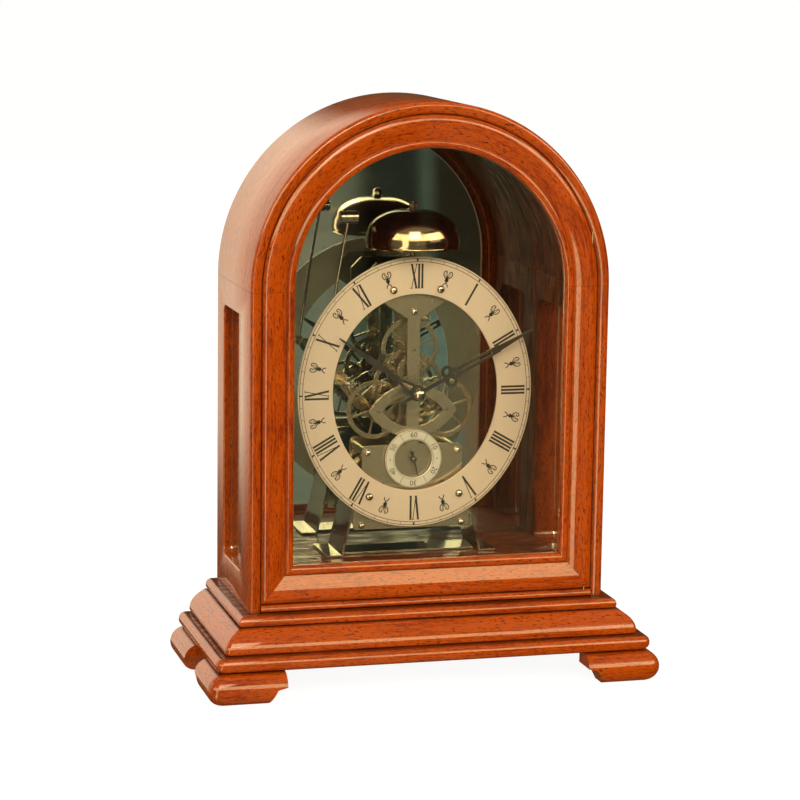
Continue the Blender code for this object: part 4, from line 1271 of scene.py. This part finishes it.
@dataclass
class SecondsDial:
    """The small seconds ring with printed tens."""

    shop: Workshop
    centre: Flat = (0.0, 85.6 * MM)
    outer: float = 18.6 * MM
    inner: float = 12.3 * MM
    front: float = 41 * MM
    figure: float = 3.5 * MM

    def build(self) -> None:
        """Makes the ring on its two posts, its lines and its figures."""
        depth = self.front
        profile = [(self.outer, 1.0 * MM), (self.outer, 0.2 * MM), (self.outer - 0.2 * MM, 0),
                   (self.inner + 0.5 * MM, 0), (self.inner, 0.4 * MM), (self.inner, 1.0 * MM)]
        place = at(self.centre[0], depth, self.centre[1])
        shape = Shape().turned(profile, 96, place, BACK, closed=True)
        for side in (-1, 1):
            post = [(1.5 * MM, 0), (1.5 * MM, 1.7 * MM)]
            shape.turned(post, 20, at(side * 15.5 * MM, depth + 1.0 * MM, self.centre[1]), BACK)
        self.shop.piece("seconds_dial", shape, Slot.SILVER, stands_for=["seconds_ring"])
        marks = Shape()
        top = depth - 0.04 * MM
        for radius in (self.outer - 0.45 * MM, self.inner + 0.75 * MM):
            marks.ribbon(circle(radius, 96), 0.22 * MM, top, depth, True, self.centre)
        for degrees in (30, 150, 210, 330):
            a = radians(degrees)
            ends = [(r * sin(a), r * cos(a)) for r in (self.inner + 0.8 * MM, self.outer - 0.5 * MM)]
            marks.ribbon(ends, 0.24 * MM, top, depth, False, self.centre)
        for side in (-1, 1):
            middle = (side * (self.inner + self.outer) / 2, self.centre[1])
            marks.plate(circle(0.42 * MM, 16), top, depth, middle)
        self.shop.piece("seconds_marks", marks, Slot.BLACK)
        for step in range(6):
            self.number(step)

    def number(self, step: int) -> None:
        """One printed figure, standing on the middle of the ring.

        Args:
            step: how many tens of seconds after the top.
        """
        text = bpy.data.curves.new("figure", "FONT")
        text.body = str(10 * step or 60)
        text.size, text.extrude = self.figure * 1.35, 0.02 * MM
        text.align_x, text.align_y = "CENTER", "CENTER"
        source = linked("figure", text)
        mesh = final_mesh(source)
        bpy.data.objects.remove(source)
        angle = tau * step / 6
        out = (self.outer + self.inner) / 2 * around(angle)[0]
        place = at(self.centre[0] + out.x, self.front - 0.03 * MM, self.centre[1] + out.y)
        turn = Matrix.Rotation(angle, 4, "Y") @ Matrix.Rotation(pi / 2, 4, "X")
        mesh.transform(Matrix.Translation(place) @ turn)
        self.shop.piece(f"seconds_figure_{10 * step or 60}", mesh, Slot.BLACK)


@dataclass
class Hand:
    """A pierced hand, drawn pointing up and then turned clockwise."""

    shop: Workshop
    name: str
    node: str
    body: str
    angle: float
    front: float
    centre: Flat
    thick: float = 0.8 * MM

    STEP = 0.008 * MM

    def build(self, strips: Sequence[tuple], rings: Sequence[tuple]) -> None:
        """Makes the hand.

        Args:
            strips: lines in millimetres from the arbor, with their widths.
            rings: x, y, outer and inner radius in millimetres.
        """
        shape, layer = Shape(), 0
        for line, widths in strips:
            layer += 1
            points = [self.turn(x, y) for x, y in line]
            wide = [w * MM for w in widths] if isinstance(widths, tuple) else widths * MM
            shape.ribbon(points, wide, self.front + layer * self.STEP, self.front + self.thick, False,
                         self.centre)
        for x, y, outer, inner in rings:
            layer += 1
            middle = self.turn(x, y)
            place = at(self.centre[0] + middle[0], self.front + layer * self.STEP,
                       self.centre[1] + middle[1])
            deep = self.thick - layer * 0.01 * MM
            profile = [(outer * MM, deep), (outer * MM, 0.12 * MM), ((outer - 0.12) * MM, 0),
                       ((inner + 0.12) * MM, 0), (inner * MM, 0.12 * MM), (inner * MM, deep)]
            shape.turned(profile, 40, place, BACK, closed=True)
        self.shop.piece(self.name, shape, Slot.BLACK, self.body, [self.node])

    def turn(self, x: float, y: float) -> Flat:
        """A point in millimetres, turned clockwise and given in metres."""
        a = self.angle
        return ((x * cos(a) + y * sin(a)) * MM, (y * cos(a) - x * sin(a)) * MM)


@dataclass
class Hands:
    """The hour, minute and seconds hands and the polished centre nut."""

    shop: Workshop
    centre: Flat = (0.0, 129.3 * MM)
    nut_base: float = 30.0 * MM

    def build(self) -> None:
        """Makes the three hands and the nut."""
        minute = Hand(self.shop, "long_hand", "minute_hand", "minute_arbor", radians(62.3), 31 * MM,
                      self.centre)
        minute.build(
            [([(0, -14), (0, -4)], (1.6, 2.6)), ([(0, -4), (0, -2.2)], 2.6),
             ([(0, 3.0), (0, 19.5)], (3.0, 2.3)),
             ([(-3.4, 25.6), (-1.75, 31), (-1.5, 60)], (1.7, 1.9, 1.5)),
             ([(3.4, 25.6), (1.75, 31), (1.5, 60)], (1.7, 1.9, 1.5)),
             ([(0, 54), (0, 62), (0, 84.7)], (4.0, 3.4, 0.8)), ([(-3.2, 19.6), (3.2, 19.6)], 1.6),
             ([(-2.6, 26.6), (0, 28.6), (2.6, 26.6)], 1.6)],
            [(0, 0, 4.6, 1.9), (-3.4, 22.6, 4.0, 1.9), (3.4, 22.6, 4.0, 1.9)])
        hour = Hand(self.shop, "short_hand", "hour_hand", "hour_pipe", radians(305.2), 33.8 * MM, self.centre)
        hour.build(
            [([(-2.8, 4.4), (-1.0, 14)], (1.7, 1.8)), ([(2.8, 4.4), (1.0, 14)], (1.7, 1.8)),
             ([(0, 12.5), (0, 30)], (3.2, 2.6)), ([(-5.6, 32.6), (5.6, 32.6)], 2.6),
             ([(0, 29), (0, 38)], (4.6, 4.6)), ([(0, 38), (0, 44), (0, 62.6)], (2.6, 3.4, 0.8)),
             ([(-2.9, 21.5), (0, 25.5), (2.9, 21.5)], 0.9)],
            [(0, 0, 5.2, 3.5), (-6.1, 32.6, 2.0, 0.8), (6.1, 32.6, 2.0, 0.8), (0, 38.6, 2.3, 0.8),
             (0, 27.6, 2.1, 0.8), (0, 16.6, 2.3, 1.1)])
        seconds = Hand(self.shop, "sweep_hand", "seconds_hand", "seconds_arbor", radians(166), 39.8 * MM,
                       (0.0, 85.6 * MM))
        seconds.build([([(0, -5.2), (0, -1.5)], (1.7, 0.9)), ([(0, 1.5), (0, 11.5)], (0.9, 0.35))],
                      [(0, 0, 1.9, 1.1)])
        dome = [(3.85 * MM * sin(a), 3.0 * MM * cos(a) + 1.4 * MM) for a in (pi / 24 * k for k in range(13))]
        profile = [*dome, (3.7 * MM, 0.6 * MM), (3.3 * MM, 0.0), (0.0, 0.0)]
        place = at(self.centre[0], self.nut_base, self.centre[1])
        self.shop.piece("centre_nut", Shape().turned(profile, 48, place, FORWARD), Slot.STEEL,
                        "minute_arbor", ["hand_nut"])


# Strike


@dataclass
class BellWork:
    """The bell on its post, the nut over it, and the hammer on its rod."""

    shop: Workshop
    depth: float = 51 * MM
    rim: float = 220 * MM
    hammer_depth: float = 57.5 * MM
    hammer_arbor: Flat = (-54 * MM, 150 * MM)
    hammer_head: Flat = (-40 * MM, 238.9 * MM)

    OUTER = ((2.3, 23.7), (6, 23.65), (12, 23.1), (18, 21.3), (23.5, 18.2), (27.2, 14), (29.3, 9), (30.0, 4),
             (29.6, 1.6), (30.1, 0.6))

    def build(self) -> None:
        """Makes the bell, the post, the nut and the hammer."""
        foot = at(0, self.depth, self.rim)
        outer = smoothed(self.OUTER, 5)
        inner = [(max(2.3, r - 1.1), z - (1.2 if z > 2 else 0)) for r, z in outer][::-1]
        profile = millimetres([*outer, (29.8, 0.0), *inner])
        self.shop.piece("gong_bell", Shape().turned(profile, 112, foot, UP, closed=True), Slot.BRONZE,
                        stands_for=["bell"])
        post = [(0, 29.4), (1.2, 29.3), (1.8, 28.8), (1.8, 21.9), (4.3, 21.9), (4.5, 21.6), (4.5, 20.2),
                (4.3, 19.9), (1.8, 19.9), (1.8, -36.8), (0, -36.8)]
        self.shop.piece("bell_stem", Shape().turned(millimetres(post), 28, foot, UP), Slot.STEEL,
                        stands_for=["bell_post"])
        nut = [(1.9, 28.5), (2.3, 28.5), (2.8, 27.8), (2.9, 25.0), (2.8, 24.6), (3.5, 24.4), (3.6, 24.0),
               (1.9, 24.0)]
        self.shop.piece("bell_cap_nut", Shape().turned(millimetres(nut), 6, foot, UP, True, 0.4), Slot.STEEL,
                        stands_for=["bell_nut"], angle=20)
        self.hammer()

    def hammer(self) -> None:
        """A turned head across the top of a long rod, on an arbor at its foot."""
        base = at(self.hammer_arbor[0], self.hammer_depth, self.hammer_arbor[1])
        head = at(self.hammer_head[0], self.hammer_depth, self.hammer_head[1])
        rod = head - base
        low = at(-47.6 * MM, self.hammer_depth, 195 * MM)
        path = [base, base.lerp(low, 0.5), low, low.lerp(head, 0.5), head - rod.normalized() * 1.0 * MM]
        shape = Shape().tube(path, 0.85 * MM, 16)
        profile = [(0, -5.85), (3.5, -5.85), (4.0, -5.4), (4.0, -3.1), (3.7, -2.8), (3.7, -2.2), (4.0, -1.9),
                   (4.0, 1.9), (3.7, 2.2), (3.7, 2.8), (4.0, 3.1), (4.0, 5.4), (3.5, 5.85), (0, 5.85)]
        shape.turned(millimetres(profile), 40, head, RIGHT)
        arbor = [(0.9, -4.0), (0.9, 20.0)]
        shape.turned(millimetres(arbor), 20, base, BACK)
        collar = [(1.0, -1.9), (2.6, -1.9), (3.0, -1.5), (3.0, 1.5), (2.6, 1.9), (1.0, 1.9)]
        shape.turned(millimetres(collar), 32, base, BACK, closed=True)
        self.shop.piece("bell_hammer", shape, Slot.STEEL, "hammer", ["hammer"])


# Movement


@dataclass
class Movement:
    """Finishes of the plates and wheels, the plates' screws and the hairspring."""

    shop: Workshop
    plate_front: float = 44 * MM
    plate_rear: float = 78 * MM
    top_pillar: Flat = (0.0, 179.9 * MM)
    pillars: tuple = ((29.6 * MM, 90 * MM), (32.9 * MM, 43 * MM))
    balance: Flat = (12 * MM, 199 * MM)
    balance_depth: float = 70.6 * MM

    BRASS = ("back_plate", "pillar_top", "pillar_upper_left", "pillar_upper_right", "pillar_lower_left",
             "pillar_lower_right", "centre_wheel", "motion_wheel", "hour_wheel", "third_wheel",
             "fourth_wheel", "intermediate_wheel", "strike_wheel", "going_barrel", "strike_barrel",
             "balance_wheel", "door_pivot_lower", "door_pivot_upper")
    STEEL = ("leg_left", "leg_right", "seat_strap", "seconds_arbor", "escape_wheel", "pallet_fork",
             "strike_fly")

    def build(self) -> None:
        """Dresses the model's own parts and adds the small ones."""
        self.shop.dress("front_plate", Slot.NICKEL, 0.22 * MM)
        for slot, nodes in ((Slot.BRASS, self.BRASS), (Slot.STEEL, self.STEEL)):
            for node in nodes:
                self.shop.dress(node, slot, 0.12 * MM)
        self.plate_screws()
        self.hairspring()

    def plate_screws(self) -> None:
        """Slotted screws in the ends of the pillars, on both plates."""
        places = [self.top_pillar] + [(side * x, height) for x, height in self.pillars for side in (-1, 1)]
        for number, place in enumerate(places, 1):
            screw(self.shop, f"front_screw_{number}", place, self.plate_front, 2.2 * MM, 1.3 * number)
            screw(self.shop, f"rear_screw_{number}", place, self.plate_rear, 2.2 * MM, 0.8 * number,
                  facing=-1, rise=0.5)

    def hairspring(self) -> None:
        """The flat spiral spring of the balance."""
        turns, steps = 7, 24
        line = []
        for k in range(turns * steps + 1):
            a = tau * k / steps
            radius = (1.7 + 4.0 * k / (turns * steps)) * MM
            line.append((radius * cos(a), radius * sin(a)))
        front, back = self.balance_depth - 0.7 * MM, self.balance_depth - 0.2 * MM
        shape = Shape().ribbon(line, 0.12 * MM, front, back, False, self.balance)
        self.shop.piece("hairspring", shape, Slot.STEEL, "balance_wheel")


# Studio


@dataclass
class Studio:
    """Pale floor, soft lamps, the surroundings that the polish reflects, and the camera."""

    yaw: float = radians(15.366)
    pitch: float = radians(9.697)
    roll: float = radians(0.806)
    stand: tuple = (-0.45679, -1.62198, 0.46320)
    lens: float = 121.66

    UPPER = ((0.0, (0.24, 0.20, 0.12)), (0.235, (0.26, 0.23, 0.14)), (0.246, (0.16, 0.15, 0.09)),
             (0.252, (0.03, 0.03, 0.018)), (0.268, (0.03, 0.03, 0.02)), (0.272, (0.10, 0.12, 0.08)),
             (0.277, (0.03, 0.022, 0.012)), (0.36, (0.02, 0.012, 0.006)))
    LOWER = ((0.0, (0.20, 0.17, 0.10)), (0.235, (0.22, 0.22, 0.14)), (0.250, (0.07, 0.09, 0.06)),
             (0.262, (0.14, 0.18, 0.13)), (0.281, (0.14, 0.20, 0.15)), (0.284, (0.26, 0.16, 0.08)),
             (0.305, (0.20, 0.12, 0.06)), (0.36, (0.03, 0.018, 0.009)))

    def build(self) -> None:
        """Makes the floor, the world, the lamps and the camera."""
        self.floor()
        self.world()
        self.lamp("key", (-0.25, -1.5, 1.3), 0.8, 12.5, (1.0, 0.80, 0.56))
        self.lamp("fill", (1.1, -1.2, 0.9), 0.9, 3.0, (1.0, 0.78, 0.53))
        self.camera()

    def floor(self) -> None:
        """A plain pale floor, left out of the polish so that the surroundings show there."""
        mesh = bpy.data.meshes.new("floor")
        half = 4.0
        corners = [(-half, -half, 0), (half, -half, 0), (half, half, 0), (-half, half, 0)]
        mesh.from_pydata(corners, [], [(0, 1, 2, 3)])
        floor = linked("floor", mesh)
        floor.visible_glossy = floor.visible_transmission = floor.visible_diffuse = False
        material = bpy.data.materials.new("floor")
        material.use_nodes = True
        preset(material.node_tree.nodes["Principled BSDF"],
               {"Base Color": (0.16, 0.18, 0.22, 1), "Emission Color": (1, 1, 1, 1),
                "Emission Strength": 0.93, "Roughness": 0.9})
        mesh.materials.append(material)

    def world(self) -> None:
        """White to the camera; to the polish, a dim room with bands ahead and glare behind on the left."""
        world = bpy.data.worlds.new("studio")
        world.use_nodes = True
        bpy.context.scene.world = world
        bpy.context.scene.view_settings.view_transform = "Standard"
        world.node_tree.nodes.clear()
        sheet = Sheet(world.node_tree)
        parts = sheet.node("SeparateXYZ")
        sheet.feed(parts.inputs[0], sheet.node("TexCoord").outputs["Generated"])
        x, y, z = parts.outputs
        lower, upper = self.bands(sheet, x, self.LOWER), self.bands(sheet, x, self.UPPER)
        colour = sheet.mix(sheet.span(z, -0.145, -0.115), lower, upper)
        glare = sheet.mix(sheet.span(z, -0.1, 0.25), (1.25, 0.97, 0.66, 1), (1.5, 1.22, 0.86, 1))
        behind = (y, -0.1, 0.4)
        patches = (([behind], (0.10, 0.06, 0.03, 1)),
                   ([behind, (x, 0.15, -0.05), (z, -0.225, -0.165)], glare),
                   ([(z, 0.62, 0.75)], (0.42, 0.31, 0.17, 1)),
                   ([(z, 0.20, 0.24), (z, 0.58, 0.54), (y, -0.15, -0.4)], (5.2, 4.1, 2.1, 1)),
                   ([(x, -0.40, -0.45), (x, -0.66, -0.60), (y, -0.2, -0.5), (z, 0.30, 0.24)],
                    (4.6, 3.6, 1.9, 1)))
        for steps, tint in patches:
            share = sheet.times(*(sheet.span(*step) for step in steps))
            colour = sheet.mix(share, colour, tint)
        path = sheet.node("LightPath")
        colour = sheet.mix(path.outputs["Is Diffuse Ray"], colour, (0.42, 0.32, 0.21, 1))
        colour = sheet.mix(path.outputs["Is Camera Ray"], colour, (1.0, 1.0, 0.99, 1))
        back = sheet.node("Background")
        sheet.feed(back.inputs[0], colour)
        sheet.feed(sheet.node("OutputWorld").inputs[0], back.outputs[0])

    @staticmethod
    def bands(sheet: Sheet, value: bpy.types.NodeSocket, stops: Sequence[tuple]) -> bpy.types.NodeSocket:
        """Upright bands of colour in the surroundings.

        Args:
            sheet: the world's sheet.
            value: the direction's part to the right.
            stops: where each colour stands, and the colour.

        Returns:
            The colour.
        """
        spread = sheet.math("MULTIPLY", value, 2.0, True)
        return sheet.ramp(spread, [(2 * place, colour) for place, colour in stops])

    def lamp(self, name: str, place: tuple, size: float, power: float, colour: tuple) -> None:
        """A square soft lamp that looks at the clock.

        Args:
            name: its name.
            place: where it stands.
            size: its side.
            power: in watts.
            colour: of its light.
        """
        data = bpy.data.lights.new(name, "AREA")
        data.size, data.energy, data.color = size, power, colour
        lamp = linked(name, data)
        lamp.location = place
        lamp.rotation_mode = "QUATERNION"
        lamp.rotation_quaternion = (Vector((0, 0, 0.18)) - Vector(place)).to_track_quat("-Z", "Y")

    def camera(self) -> None:
        """The camera, a little left of the clock and above it."""
        ahead = cos(self.pitch)
        forward = Vector((sin(self.yaw) * ahead, cos(self.yaw) * ahead, -sin(self.pitch)))
        level = Vector((cos(self.yaw), -sin(self.yaw), 0))
        rise = level.cross(forward)
        right = cos(self.roll) * level + sin(self.roll) * rise
        up = right.cross(forward)
        data = bpy.data.cameras.new("camera")
        data.lens, data.sensor_width = self.lens, 36
        data.clip_start, data.clip_end = 0.05, 50
        camera = linked("camera", data)
        turn = Matrix((right, up, -forward)).transposed().to_4x4()
        camera.matrix_world = Matrix.Translation(self.stand) @ turn
        bpy.context.scene.camera = camera


def main() -> None:
    """Builds every sub-assembly, then the studio."""
    logging.basicConfig(level=logging.INFO)
    shop = Workshop(Palette())
    for part in (Case(shop), Door(shop), Plinth(shop), ChapterRing(shop), SecondsDial(shop), Hands(shop),
                 BellWork(shop), Movement(shop)):
        before = set(bpy.data.objects)
        part.build()
        for thing in sorted(set(bpy.data.objects) - before, key=lambda o: o.name):
            LOG.info("%s: %s", type(part).__name__, thing.name)
    Studio().build()


if __name__ == "__main__":
    main()
